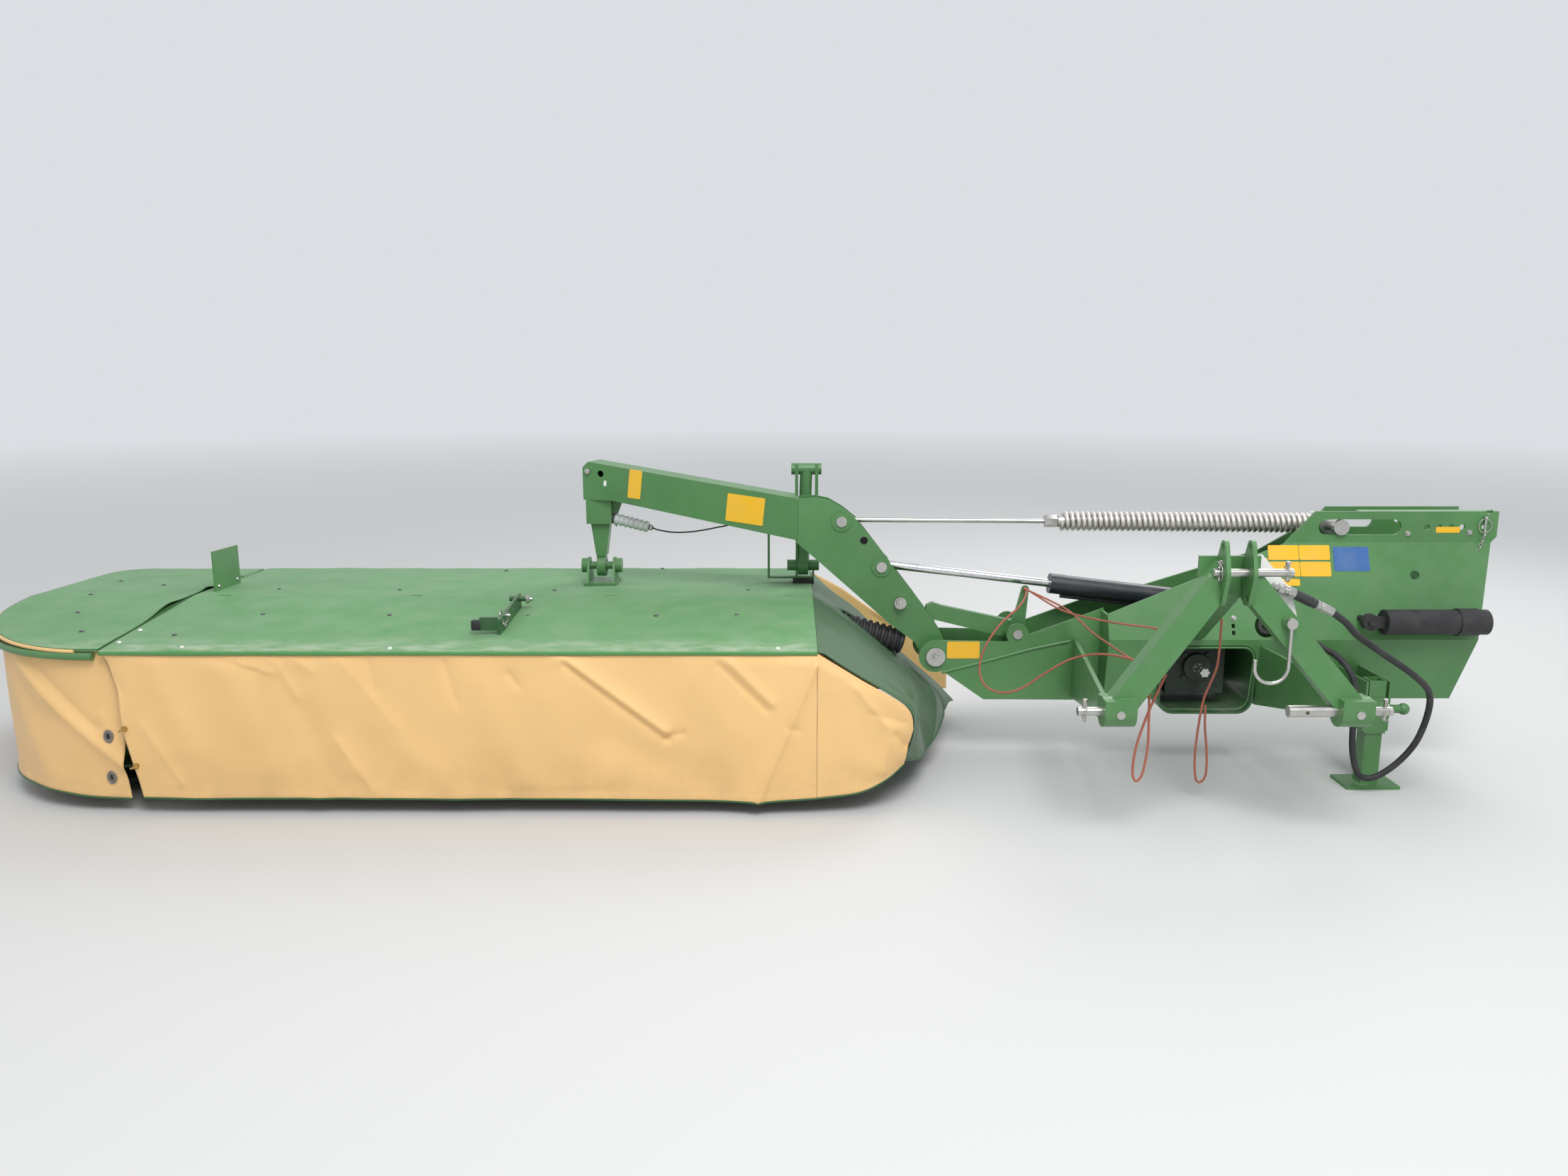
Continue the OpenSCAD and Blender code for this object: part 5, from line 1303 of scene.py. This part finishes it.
@dataclass
class TopCloths:
    """The green sheets over the cover: one that lies over the crease and one over the far end."""

    left: float = -2248.0
    right: float = 110.0
    end_right: float = -2261.0
    lift_over: float = 2.2
    head_seat: float = 1.5
    front_roll: Sequence[Point] = (
        (0.0, -729.0, 553.0), (0.010, -729.6, 560.0), (0.018, -728.6, 565.6), (0.026, -725.4, 568.4),
    )
    rear_roll: Sequence[Point] = (
        (0.975, 584.0, 613.8), (0.983, 588.2, 610.6), (0.991, 589.4, 605.0), (1.0, 589.4, 598.0),
    )
    end_front: float = -708.0
    end_rear: float = 571.0
    end_face: float = -2863.0
    bow_middle: Spot = (-2277.0, -125.0)
    bow_radius: float = 586.0
    corner_start: float = 455.0
    corner_middle: float = 441.0
    corner_radius: float = 130.0
    gaps: Sequence[Point] = ((17.0, -250.0, 105.0), (9.0, 60.0, 46.0))
    gap_reach: float = 60.0
    overhang: float = 0.5
    dark_heads: Sequence[Spot] = (
        (-920, -341), (-460, -337), (-171, -325), (-895, 33), (-140, 40), (-1193, 509), (-528, 565),
        (-1420, -330), (-1880, -320), (-1500, 40), (-1980, 60), (-2080, -560),
    )
    pale_rivets: Sequence[Spot] = (
        (-2225, -640), (-2226, -505), (-2218, 78), (-2215, 215), (-1990, -690), (-1300, -700), (-20, -700),
    )
    end_heads: Sequence[Spot] = (
        (-2560, -300), (-2650, -60), (-2480, 150), (-2420, -520), (-2700, 240), (-2360, 400),
    )
    head_shape: Sequence[float] = (0.0042, 0.009, 14, 0.006)
    rivet_shape: Sequence[float] = (0.0048, 0.008, 14, 0.005)

    def _profile(self, v: float) -> Spot:
        """Return the depth and height across the cover."""
        front, rear = self.front_roll[-1], self.rear_roll[0]
        if front[0] < v < rear[0]:
            y = mixed(front[1], rear[1], (v - front[0]) / (rear[0] - front[0]))
            return y, cover_height(y) + self.lift_over
        rows = self.front_roll if v <= front[0] else self.rear_roll
        return stepped([(r[0], r[1]) for r in rows], v), stepped([(r[0], r[2]) for r in rows], v)

    def plane(self, u: float, v: float) -> Spot:
        """Return the place in the long sheet's own plane."""
        return mixed(self.left, self.right, u), self._profile(v)[0]

    def place(self, u: float, v: float) -> Vector:
        """Return the plain point of the long sheet."""
        return at(mixed(self.left, self.right, u), *self._profile(v))

    def _outer(self, y: float) -> float:
        """Return the far end's edge at a depth."""
        x, middle = self.bow_middle
        if y < middle:
            return x - math.sqrt(max(self.bow_radius**2 - (y - middle) ** 2, 0.0))
        if y > self.corner_start:
            reach = math.sqrt(max(self.corner_radius**2 - (y - self.corner_middle) ** 2, 0.0))
            return self.end_face + self.corner_radius - reach
        return self.end_face

    def end_plane(self, u: float, v: float) -> Spot:
        """Return the place in the far end sheet's own plane."""
        y = mixed(self.end_front, self.end_rear, v)
        return mixed(self._outer(y), self.end_right, u), y

    def end_place(self, u: float, v: float) -> Vector:
        """Return the plain point of the far end's sheet, whose inner edge gapes in two places."""
        y = mixed(self.end_front, self.end_rear, v)
        x = mixed(self._outer(y) - self.overhang, self.end_right, u)
        gap = sum(rise * math.exp(-(((y - middle) / width) ** 2)) for rise, middle, width in self.gaps)
        near = math.exp(-(self.end_right - x) / self.gap_reach)
        return at(x, y, cover_height(y) + self.lift_over + gap * near)

    def build(self) -> None:
        """Make both sheets with the heads on them."""
        common = {
            "finish_name": "cover_cloth", "slot": "green_paint", "hold": "stretched", "thickness": 0.0018,
            "ripple": 2.0, "ripple_scale": 5.0, "fixed_top": 0.0, "hem_finish": None,
        }
        folds = creases(
            (-930, -560, -870, -120, 3, 40, 1), (-900, -600, -760, -640, 3, 16),
            (-60, -440, 60, -640, 3, 22), (-1980, -560, -1700, -520, 3, 26),
            (-1500, -600, -1300, -420, 3, 34, 1), (-700, 80, -200, 40, 3, 40, 1),
            (-1400, 260, -1000, 200, 3, 50, 1), (-1900, 380, -1700, 120, 3, 40, 1),
            (-340, 420, 40, 360, 3, 40, 1),
        )
        HingedCloth(
            "top_sheet", "mower", self.place, self.plane, (250, 120), folds,
            rests_on=("front_flap", "rear_cover"), other_body="front_guard",
            bend_start=at(-1000, -71, 616), bend_end=at(-1000, -79, 616), **common,
        ).build()
        folds = creases(
            (-2760, -360, -2560, -520, 3, 24), (-2700, 60, -2400, -60, 3, 50, 1),
            (-2800, 300, -2500, 420, 3, 40, 1),
        )
        GuardCloth(
            "end_top_sheet", "side_guard", self.end_place, self.end_plane, (60, 120), folds,
            rests_on=("side_flap",), **common,
        ).build()
        for body, front in (("front_guard", True), ("mower", False)):
            dark, pale = (
                [spot for spot in spots if (spot[1] < HINGE_Y) == front]
                for spots in (self.dark_heads, self.pale_rivets)
            )
            self._heads(f"{body}_heads", body, "black_paint", "black_paint", dark, self.head_shape)
            self._heads(f"{body}_rivets", body, "white_label", "white_plate", pale, self.rivet_shape)
        self._heads(
            "side_guard_heads", "side_guard", "black_paint", "black_paint", self.end_heads, self.head_shape
        )

    def _heads(
        self, name: str, body: str, finish_name: str, slot: str, spots: Sequence[Spot], shape: Sequence[float]
    ) -> None:
        """Make a piece of small round heads, all of one shape, that stand on the cover."""
        seats = [at(x, y, cover_height(y) + self.head_seat) for x, y in spots]
        turned_piece(name, body, finish_name, slot, *((seat, Axis.Z.vector, *shape) for seat in seats))


@dataclass
class ReliefSpring:
    """The long relief spring: its coils, plug, nut and the eye on the sliding pin."""

    pin: Point = (2077, 0, 892)
    far: Point = (217, 0, 905)
    first: float = 0.070
    last: float = 1.019
    coils: int = 45
    coil_radius: float = 0.0295
    wire: float = 0.0087
    steps: int = 22
    eye_radius: float = 0.0415
    eye_bore: float = 0.0225
    eye_width: float = 0.080
    strut_size: Point = (0.046, 0.030, 0.040)
    strut_place: float = 0.053
    plug_radius: float = 0.0232
    plug_place: float = 0.058
    plug_length: float = 0.052
    far_plug_length: float = 0.058
    nut_radius: float = 0.0235
    nut_length: float = 0.048

    def build(self) -> None:
        """Make the coils as one turned wire and the end fittings."""
        base = at(*self.pin)
        ahead = (at(*self.far) - base).normalized()
        coil = Maker("spring_coils", "relief_spring", "spring_steel", "steel")
        ring, edges = coil.base_ring(self.wire, 10)
        place = Matrix.Translation((self.coil_radius, 0.0, self.first)) @ Matrix.Rotation(math.pi / 2, 4, "X")
        bmesh.ops.transform(coil.mesh, matrix=place, verts=ring)
        count = self.coils * self.steps
        bmesh.ops.spin(
            coil.mesh,
            geom=[*ring, *edges],
            cent=(0.0, 0.0, 0.0),
            axis=(0.0, 0.0, 1.0),
            dvec=(0.0, 0.0, (self.last - self.first) / count),
            angle=math.tau * self.coils,
            steps=count,
        )
        ends = [edge for edge in coil.mesh.edges if edge.is_boundary]
        bmesh.ops.holes_fill(coil.mesh, edges=ends, sides=0)
        bmesh.ops.transform(coil.mesh, matrix=placed(base, ahead), verts=coil.mesh.verts)
        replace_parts(coil.done(60.0), "relief_spring")
        self._fittings(base, ahead)

    def _fittings(self, base: Vector, ahead: Vector) -> None:
        """Make the eye, the strut, the plugs and the hex nut."""
        ends = Maker("spring_fittings", "relief_spring", "steel")
        side = Axis.Y.vector
        ends.ring_bar(base - side * self.eye_width / 2, side, self.eye_width, self.eye_radius, self.eye_bore)
        turn = Matrix((ahead, side, ahead.cross(side))).transposed().to_4x4()
        ends.box(base + ahead * self.strut_place, self.strut_size, 0.004, turn)
        near, far, nut = (base + ahead * d for d in (self.plug_place, self.last - 0.045, self.last + 0.014))
        ends.turned(near, ahead, self.plug_length, self.plug_radius, 28, bevel=0.003)
        ends.turned(far, ahead, self.far_plug_length, self.plug_radius, 28, bevel=0.002)
        ends.turned(nut, ahead, self.nut_length, self.nut_radius, 6, bevel=0.0015)
        ends.done()


class Lie(Enum):
    """How a blank plate lies: its right and its up direction."""

    ON_ARM = ((0.9639, -0.2664, -0.11), (0.11 * 0.9639, -0.11 * 0.2664, 1.0))
    UPRIGHT = ((1.0, 0.0, 0.0), (0.0, 0.0, 1.0))
    LEANING = ((1.0, 0.0, 0.0), (0.0, 0.3527, 0.9358))


@dataclass(frozen=True)
class Plate:
    """A blank printed plate by its middle and its size in millimetres, the way it lies and its finish."""

    middle: Point
    wide: float
    high: float
    lie: Lie
    finish_name: str = "yellow_plate"
    thickness: float = 0.0012
    corner: float = 0.005

    def add_to(self, maker: Maker) -> None:
        """Add the thin plate with its rounded corners to a piece."""
        right, up = (Vector(way).normalized() for way in self.lie.value)
        outward = right.cross(up)
        turn = Matrix((right, up, outward)).transposed().to_4x4()
        size = (self.wide * MM, self.high * MM, self.thickness)
        maker.box(at(*self.middle) + outward * self.thickness / 2, size, self.corner, turn, outward, 4)


@dataclass
class BlankPlates:
    """The blank coloured plates on the arm and on the frame's front."""

    on_boom: Sequence[Plate] = (
        Plate((-581.5, 110.7, 1029), 53, 112, Lie.ON_ARM),
        Plate((-148, -9.1, 945), 150, 106, Lie.ON_ARM),
        Plate((-703, 144.2, 1029), 12, 22, Lie.ON_ARM, "white_label"),
    )
    on_frame: Sequence[Plate] = (
        Plate((683, -115.0, 420), 124, 66, Lie.UPRIGHT),
        Plate((1866, -129.0, 798), 114, 56, Lie.LEANING),
        Plate((1982, -129.0, 798), 114, 56, Lie.LEANING),
        Plate((1866, -151.2, 739), 114, 56, Lie.LEANING),
        Plate((1982, -151.2, 739), 114, 56, Lie.LEANING),
        Plate((1779, -145.0, 755), 54, 50, Lie.LEANING),
        Plate((1850, -169.0, 692), 140, 26, Lie.LEANING),
        Plate((2118, -137.7, 775), 132, 92, Lie.LEANING, "blue_plate"),
        Plate((2480, -115.0, 882), 90, 22, Lie.UPRIGHT),
    )

    def build(self) -> None:
        """Lay every plate on its face, one piece for each body and finish."""
        for body, plates in (("boom", self.on_boom), ("frame", self.on_frame)):
            for name in sorted({plate.finish_name for plate in plates}):
                maker = Maker(f"{body}_{name}s", body, name, "white_plate")
                for plate in plates:
                    if plate.finish_name == name:
                        plate.add_to(maker)
                maker.done()


@dataclass(frozen=True)
class Chain:
    """A light chain that hangs in a curve between two points."""

    start: Point
    end: Point
    sag: float
    link: float = 0.016
    wire: float = 0.0013
    overlap: float = 0.74
    slimness: float = 0.3
    steps: int = 60

    def add_to(self, maker: Maker) -> None:
        """Add the links to a piece."""
        first, last = at(*self.start), at(*self.end)
        parts = [i / self.steps for i in range(self.steps + 1)]
        line = [first.lerp(last, t) - Vector((0, 0, 4 * self.sag * MM * t * (1 - t))) for t in parts]
        walked, nearest, places = 0.0, 0.0, []
        for a, b in zip(line, line[1:]):
            span = (b - a).length
            while nearest <= walked + span:
                places.append((a.lerp(b, (nearest - walked) / span), (b - a).normalized()))
                nearest += self.link * self.overlap
            walked += span
        for index, (middle, ahead) in enumerate(places):
            side = square_to(ahead)
            if index % 2:
                side = ahead.cross(side)
            loop = circle(middle, ahead * self.link / 2, side * self.link * self.slimness, 14)
            maker.tube(loop, self.wire, 5, closed=True)


@dataclass
class ArmDamper:
    """The pale ribbed sleeve at the arm's end, its black end and its lead along the arm."""

    start: Point = (-676, 190, 884)
    end: Point = (-540, 190, 850)
    ribs: int = 7
    radius: float = 0.023
    groove: float = 0.82
    lead: Sequence[Point] = (
        (-500, 188, 838), (-440, 180, 830), (-380, 160, 834), (-320, 128, 846), (-262, 92, 862),
        (-214, 60, 876), (-186, 40, 892),
    )

    def build(self) -> None:
        """Make the sleeve, the ends and the lead."""
        first, last = at(*self.start), at(*self.end)
        ahead = (last - first).normalized()
        pitch = (last - first).length / self.ribs
        low = self.radius * self.groove
        sleeve = Maker("damper_sleeve", "boom", "pale_plastic", "white_plate")
        for base in (first + ahead * pitch * k for k in range(self.ribs)):
            sleeve.turned(base, ahead, pitch * 0.34, low, 26, self.radius)
            sleeve.turned(base + ahead * pitch * 0.34, ahead, pitch * 0.30, self.radius, 26)
            sleeve.turned(base + ahead * pitch * 0.64, ahead, pitch * 0.36, self.radius, 26, low)
        sleeve.done(40)
        turned_piece(
            "damper_ends", "boom", "rubber", "rubber",
            (first - ahead * 0.030, ahead, 0.030, 0.017, 24, 0.021, 0.002),
            (last, ahead, 0.018, 0.012, 20, 0.007),
        )
        turned_piece(
            "damper_bolt", "boom", "steel", "steel",
            (last + ahead * 0.004, ahead, 0.010, 0.012, 6),
            (first - ahead * 0.055, ahead, 0.026, 0.007, 14),
        )
        tip = tuple((last + ahead * 0.018 - DRAWING_ORIGIN) / MM)
        Cord("damper_lead", None, (tip, *self.lead), 0.006, "rubber", "object", "medium", "boom").build()


@dataclass
class Fasteners:
    """Bolts, pin rings, chains and small fittings of every body."""

    chain_wire: float = 0.0017
    frame_lean: Point = (0.0, -0.9357, 0.3526)
    arm_face: Point = (-0.2664, -0.9639, 0.0)
    leaning_plate: float = -120.0

    def build(self) -> None:
        """Make the fittings, body by body."""
        self._frame_bolts()
        self._pins_and_chains()
        self._boom()
        plate_bolts = ((at(-2199.5, y, 640), Axis.X.vector, 0.004, 0.008, 14, 0.006) for y in (30, 185))
        turned_piece("mower_bolts", "mower", "steel", "steel", *plate_bolts)
        self._guard_bracket()
        self._hose_end()
        self._frame_trim()

    def _frame_bolts(self) -> None:
        """Set the frame's bolts."""
        bolts = Maker("frame_bolts", "frame", "steel")
        front = Axis.TO_TRACTOR.vector
        for x in (1030, 1764):
            bolts.turned(at(x, -1013.5, 437), front, 0.0055, 0.0135, 24, bevel=0.0015)
        bolts.bolt(at(577, -129, 395), front, 14)
        for x, z, y in ((1664, 566, -216.4), (2560, 872, -115), (2330, 868, -115)):
            bolts.bolt(at(x, y, z), Vector(self.frame_lean) if y < self.leaning_plate else front, 10)
        bolts.done()

    def _pins_and_chains(self) -> None:
        """Set the lynch pins with their rings and the small chains."""
        pins = Maker("lynch_pins", "frame", "steel")
        for place, reach, out in (
            ((930, -968, 436), 0.030, Axis.Y),
            ((1860, -968, 436), 0.030, Axis.Y),
            ((1342, -905, 860), 0.026, Axis.Y),
            ((1551, -905, 860), 0.026, Axis.Y),
            ((2613, -124, 898), 0.024, Axis.X),
        ):
            self._lynch(pins, at(*place), reach, out.vector)
        pins.done()
        chains = Maker("pin_chains", "frame", "steel")
        Chain((1342, -912, 892), (1290, -842, 800), 46).add_to(chains)
        Chain((2613, -128, 872), (2560, -118, 760), 34).add_to(chains)
        chains.done()

    def _lynch(self, maker: Maker, middle: Vector, reach: float, out: Vector) -> None:
        """Add a small upright pin with its wire ring round a bar.

        Args:
            maker: The piece that takes it.
            middle: The middle of the bar's end.
            reach: How far it stands above and below the middle.
            out: The level direction that the ring lies in.
        """
        up = Axis.Z.vector
        maker.turned(middle - up * reach, up, 2 * reach, 0.0048, 16, bevel=0.001)
        maker.turned(middle + up * reach, up, 0.010, 0.0078, 18, bevel=0.002)
        ring = circle(middle, up * (reach + 0.002), out * (reach + 0.002) * 0.92, 30)
        maker.tube(ring, self.chain_wire, 8, closed=True)

    def _boom(self) -> None:
        """Set the bolts and welds of the boom, and a thin near-black disc of painted shade where it has a
        hole.
        """
        front = Axis.TO_TRACTOR.vector
        bolts = Maker("boom_bolts", "boom", "steel")
        bolts.bolt(at(444, -77, 593), front, 20, False)
        bolts.bolt(at(444, 77, 593), -front, 20, False)
        bolts.turned(at(-772, 163, 1075), Vector(self.arm_face), 0.010, 0.012, 18, bevel=0.002)
        bolts.done()
        # Painted shade: a thin near-black disc where the boom has a hole.
        mark = (at(303, -57.0, 833), front, 0.0009, 0.0148, 24)
        turned_piece("boom_hole_shade", "boom", "black_hole", "black_paint", mark)
        weld = Maker("boom_welds", "boom", "green_paint")
        for y in (-58, 58):
            weld.tube([at(46, y, z) for z in (838, 870, 910, 950, 990)], 0.006, 8)
        weld.done(60)

    def _guard_bracket(self) -> None:
        """Set the rubber stop, the ring pin, its chain and the pivot bolt on the cover's bracket."""
        black = Maker("bracket_stop", "front_guard", "rubber")
        low, high = at(-1066, -566, 599), at(-1034, -540, 633)
        black.box((low + high) / 2, high - low, 0.003)
        black.done()
        steel = Maker("bracket_pin", "front_guard", "steel")
        steel.turned(at(-990, -478, 634), Axis.X.vector, 0.040, 0.0055, 16, bevel=0.001)
        ring = circle(at(-984, -478, 634), Axis.Z.vector * 0.017, Axis.Y.vector * 0.017, 24)
        steel.tube(ring, self.chain_wire, 8, closed=True)
        steel.turned(at(-1004, -260, 647), Axis.X.vector, 0.086, 0.008, 18, bevel=0.002)
        steel.bolt(at(-940, -260, 647), Axis.X.vector, 16)
        Chain((-988, -476, 622), (-984, -548, 632), 30).add_to(steel)
        Chain((-962, -470, 634), (-962, -545, 628), 24).add_to(steel)
        steel.done()

    def _hose_end(self) -> None:
        """Set the coupling's collar and sleeve and the grommet where the hose goes in."""
        start, neck, end = at(1548, -850.3, 802), at(1600, -850.3, 784), at(1685, -852, 744)
        ahead, onward = (neck - start).normalized(), (end - neck).normalized()
        turned_piece(
            "coupling_body", "frame", "steel", "steel",
            (start - ahead * 0.018, ahead, 0.022, 0.0128, 28, None, 0.0015),
            (start, ahead, 0.020, 0.0170, 6, None, 0.001),
            (start + ahead * 0.020, ahead, (neck - start).length - 0.018, 0.0168, 32, None, 0.0015),
            (start + ahead * 0.031, ahead, 0.009, 0.0186, 32, None, 0.001),
            (end - onward * 0.016, onward, 0.016, 0.0150, 32, None, 0.001),
        )
        ribs = ((neck + onward * (0.008 + 0.010 * k), onward, 0.004, 0.0165, 32) for k in range(6))
        tube = (neck - onward * 0.006, onward, (end - neck).length - 0.008, 0.0155, 32, None, 0.002)
        sleeve = turned_piece("coupling_sleeve", "frame", "dark_sleeve", "rubber", tube, *ribs)
        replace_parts(sleeve, "hose_coupling")
        grommet = Maker("hose_grommet", "frame", "rubber")
        middle, up = at(1783, -226.6, 539), Vector((0.0, 0.3526, 0.9357))
        for wide, wire in ((0.026, 0.0055), (0.019, 0.0045)):
            grommet.tube(circle(middle, Axis.X.vector * wide, up * wide, 32), wire, 8, closed=True)
        grommet.done()

    def _frame_trim(self) -> None:
        """Lay the weld beads and pressed rims of the frame."""
        trim = Maker("frame_beads", "frame", "green_paint")
        trim.tube([at(x, -115, z) for x, z in ((603, 331), (753, 371), (947, 425), (1090, 455))], 0.0055, 8)
        middle_x, middle_z, half_wide, half_high, corner = 1575.0, 335.0, 170.0, 125.0, 46.0
        face, lean, top, tall, proud = -245, 40, 490, 235, 1.5
        path = []
        for right, up, turn in ((1, 1, 0), (-1, 1, 90), (-1, -1, 180), (1, -1, 270)):
            for angle in (math.radians(turn + 15 * k) for k in range(7)):
                x = middle_x + right * (half_wide - corner) + corner * math.cos(angle)
                z = middle_z + up * (half_high - corner) + corner * math.sin(angle)
                path.append(at(x, face + lean * (top - z) / tall - proud, z))
        trim.tube(path, 0.0042, 8, closed=True)
        trim.done(60)


@dataclass(frozen=True)
class Lamp:
    """A soft round lamp by its place, the point that it looks at, its power in watts and its size."""

    name: str
    place: Point
    aim: Point
    power: float
    size: float = 4.0

    def hang(self) -> None:
        """Put the lamp in the scene."""
        data = bpy.data.lights.new(self.name, "AREA")
        data.shape = "DISK"
        data.size = self.size
        data.energy = self.power
        lamp = link(self.name, data)
        lamp.location = self.place
        lamp.rotation_euler = (Vector(self.aim) - Vector(self.place)).to_track_quat("-Z", "Y").to_euler()


@dataclass
class Studio:
    """Camera at the photograph's place, a plain floor and soft lamps."""

    lens: float = 27.03
    sensor: float = 36.0
    eye: Vector = field(default_factory=lambda: at(0, -4475, 1500))
    pitch: float = 10.9
    floor_size: float = 60.0
    floor_colour: Colour = (0.60, 0.60, 0.59)
    sky_colour: Colour = (0.93, 0.96, 1.0)
    sky_strength: float = 0.76
    fade_start: float = 3.5
    fade_end: float = 22.0
    lamps: Sequence[Lamp] = (
        Lamp("key", (1.2, -4.6, 6.4), (0.3, 0.0, 0.4), 380.0),
        Lamp("rim", (4.0, 4.0, 5.0), (0.0, 0.0, 0.4), 160.0),
    )

    def camera(self) -> None:
        """Place the camera."""
        data = bpy.data.cameras.new("camera")
        data.sensor_fit = "HORIZONTAL"
        data.sensor_width = self.sensor
        data.lens = self.lens
        data.clip_end = 200.0
        camera = link("camera", data)
        camera.location = self.eye
        camera.rotation_euler = (math.radians(90 - self.pitch), 0.0, 0.0)
        bpy.context.scene.camera = camera

    def floor(self) -> None:
        """Lay the floor."""
        shape = bmesh.new()
        bmesh.ops.create_grid(shape, x_segments=1, y_segments=1, size=self.floor_size / 2)
        graph = Graph("floor")
        graph.feed("Base Color", self.floor_colour)
        graph.feed("Roughness", 0.9)
        graph.fade(self.sky_colour, self.sky_strength, self.fade_start, self.fade_end)
        mesh_object("floor", shape, graph.material)

    def light(self) -> None:
        """Set the sky and the lamps."""
        world = bpy.data.worlds.new("sky")
        bpy.context.scene.world = world
        world.use_nodes = True
        background = world.node_tree.nodes["Background"]
        background.inputs["Color"].default_value = (*self.sky_colour, 1.0)
        background.inputs["Strength"].default_value = self.sky_strength
        for lamp in self.lamps:
            lamp.hang()
        bpy.context.scene.view_settings.view_transform = "Standard"

    def build(self) -> None:
        """Set the whole studio."""
        self.camera()
        self.floor()
        self.light()


def dress_nodes() -> None:
    """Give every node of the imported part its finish."""
    for row in frame["record"]["subparts"]:
        node = frame["nodes"].get(row["node"])
        if node is None:
            continue
        node.data.materials.clear()
        node.data.materials.append(finish(row["material_slot"]))
        LOG.info("%s wears %s", row["node"], row["material_slot"])


def main() -> None:
    """Build the scene, piece by piece."""
    logging.basicConfig(level=logging.INFO, format="%(message)s")
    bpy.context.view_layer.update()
    Studio().build()
    build_cords()
    dress_nodes()
    for builder in (
        FrontGuard(), SideGuard(), RearGuard(), DriveEnd(), TopCloths(), ReliefSpring(), BlankPlates(),
        ArmDamper(), Fasteners(),
    ):
        builder.build()
        LOG.info("%s is done", type(builder).__name__)


if __name__ == "__main__":
    main()
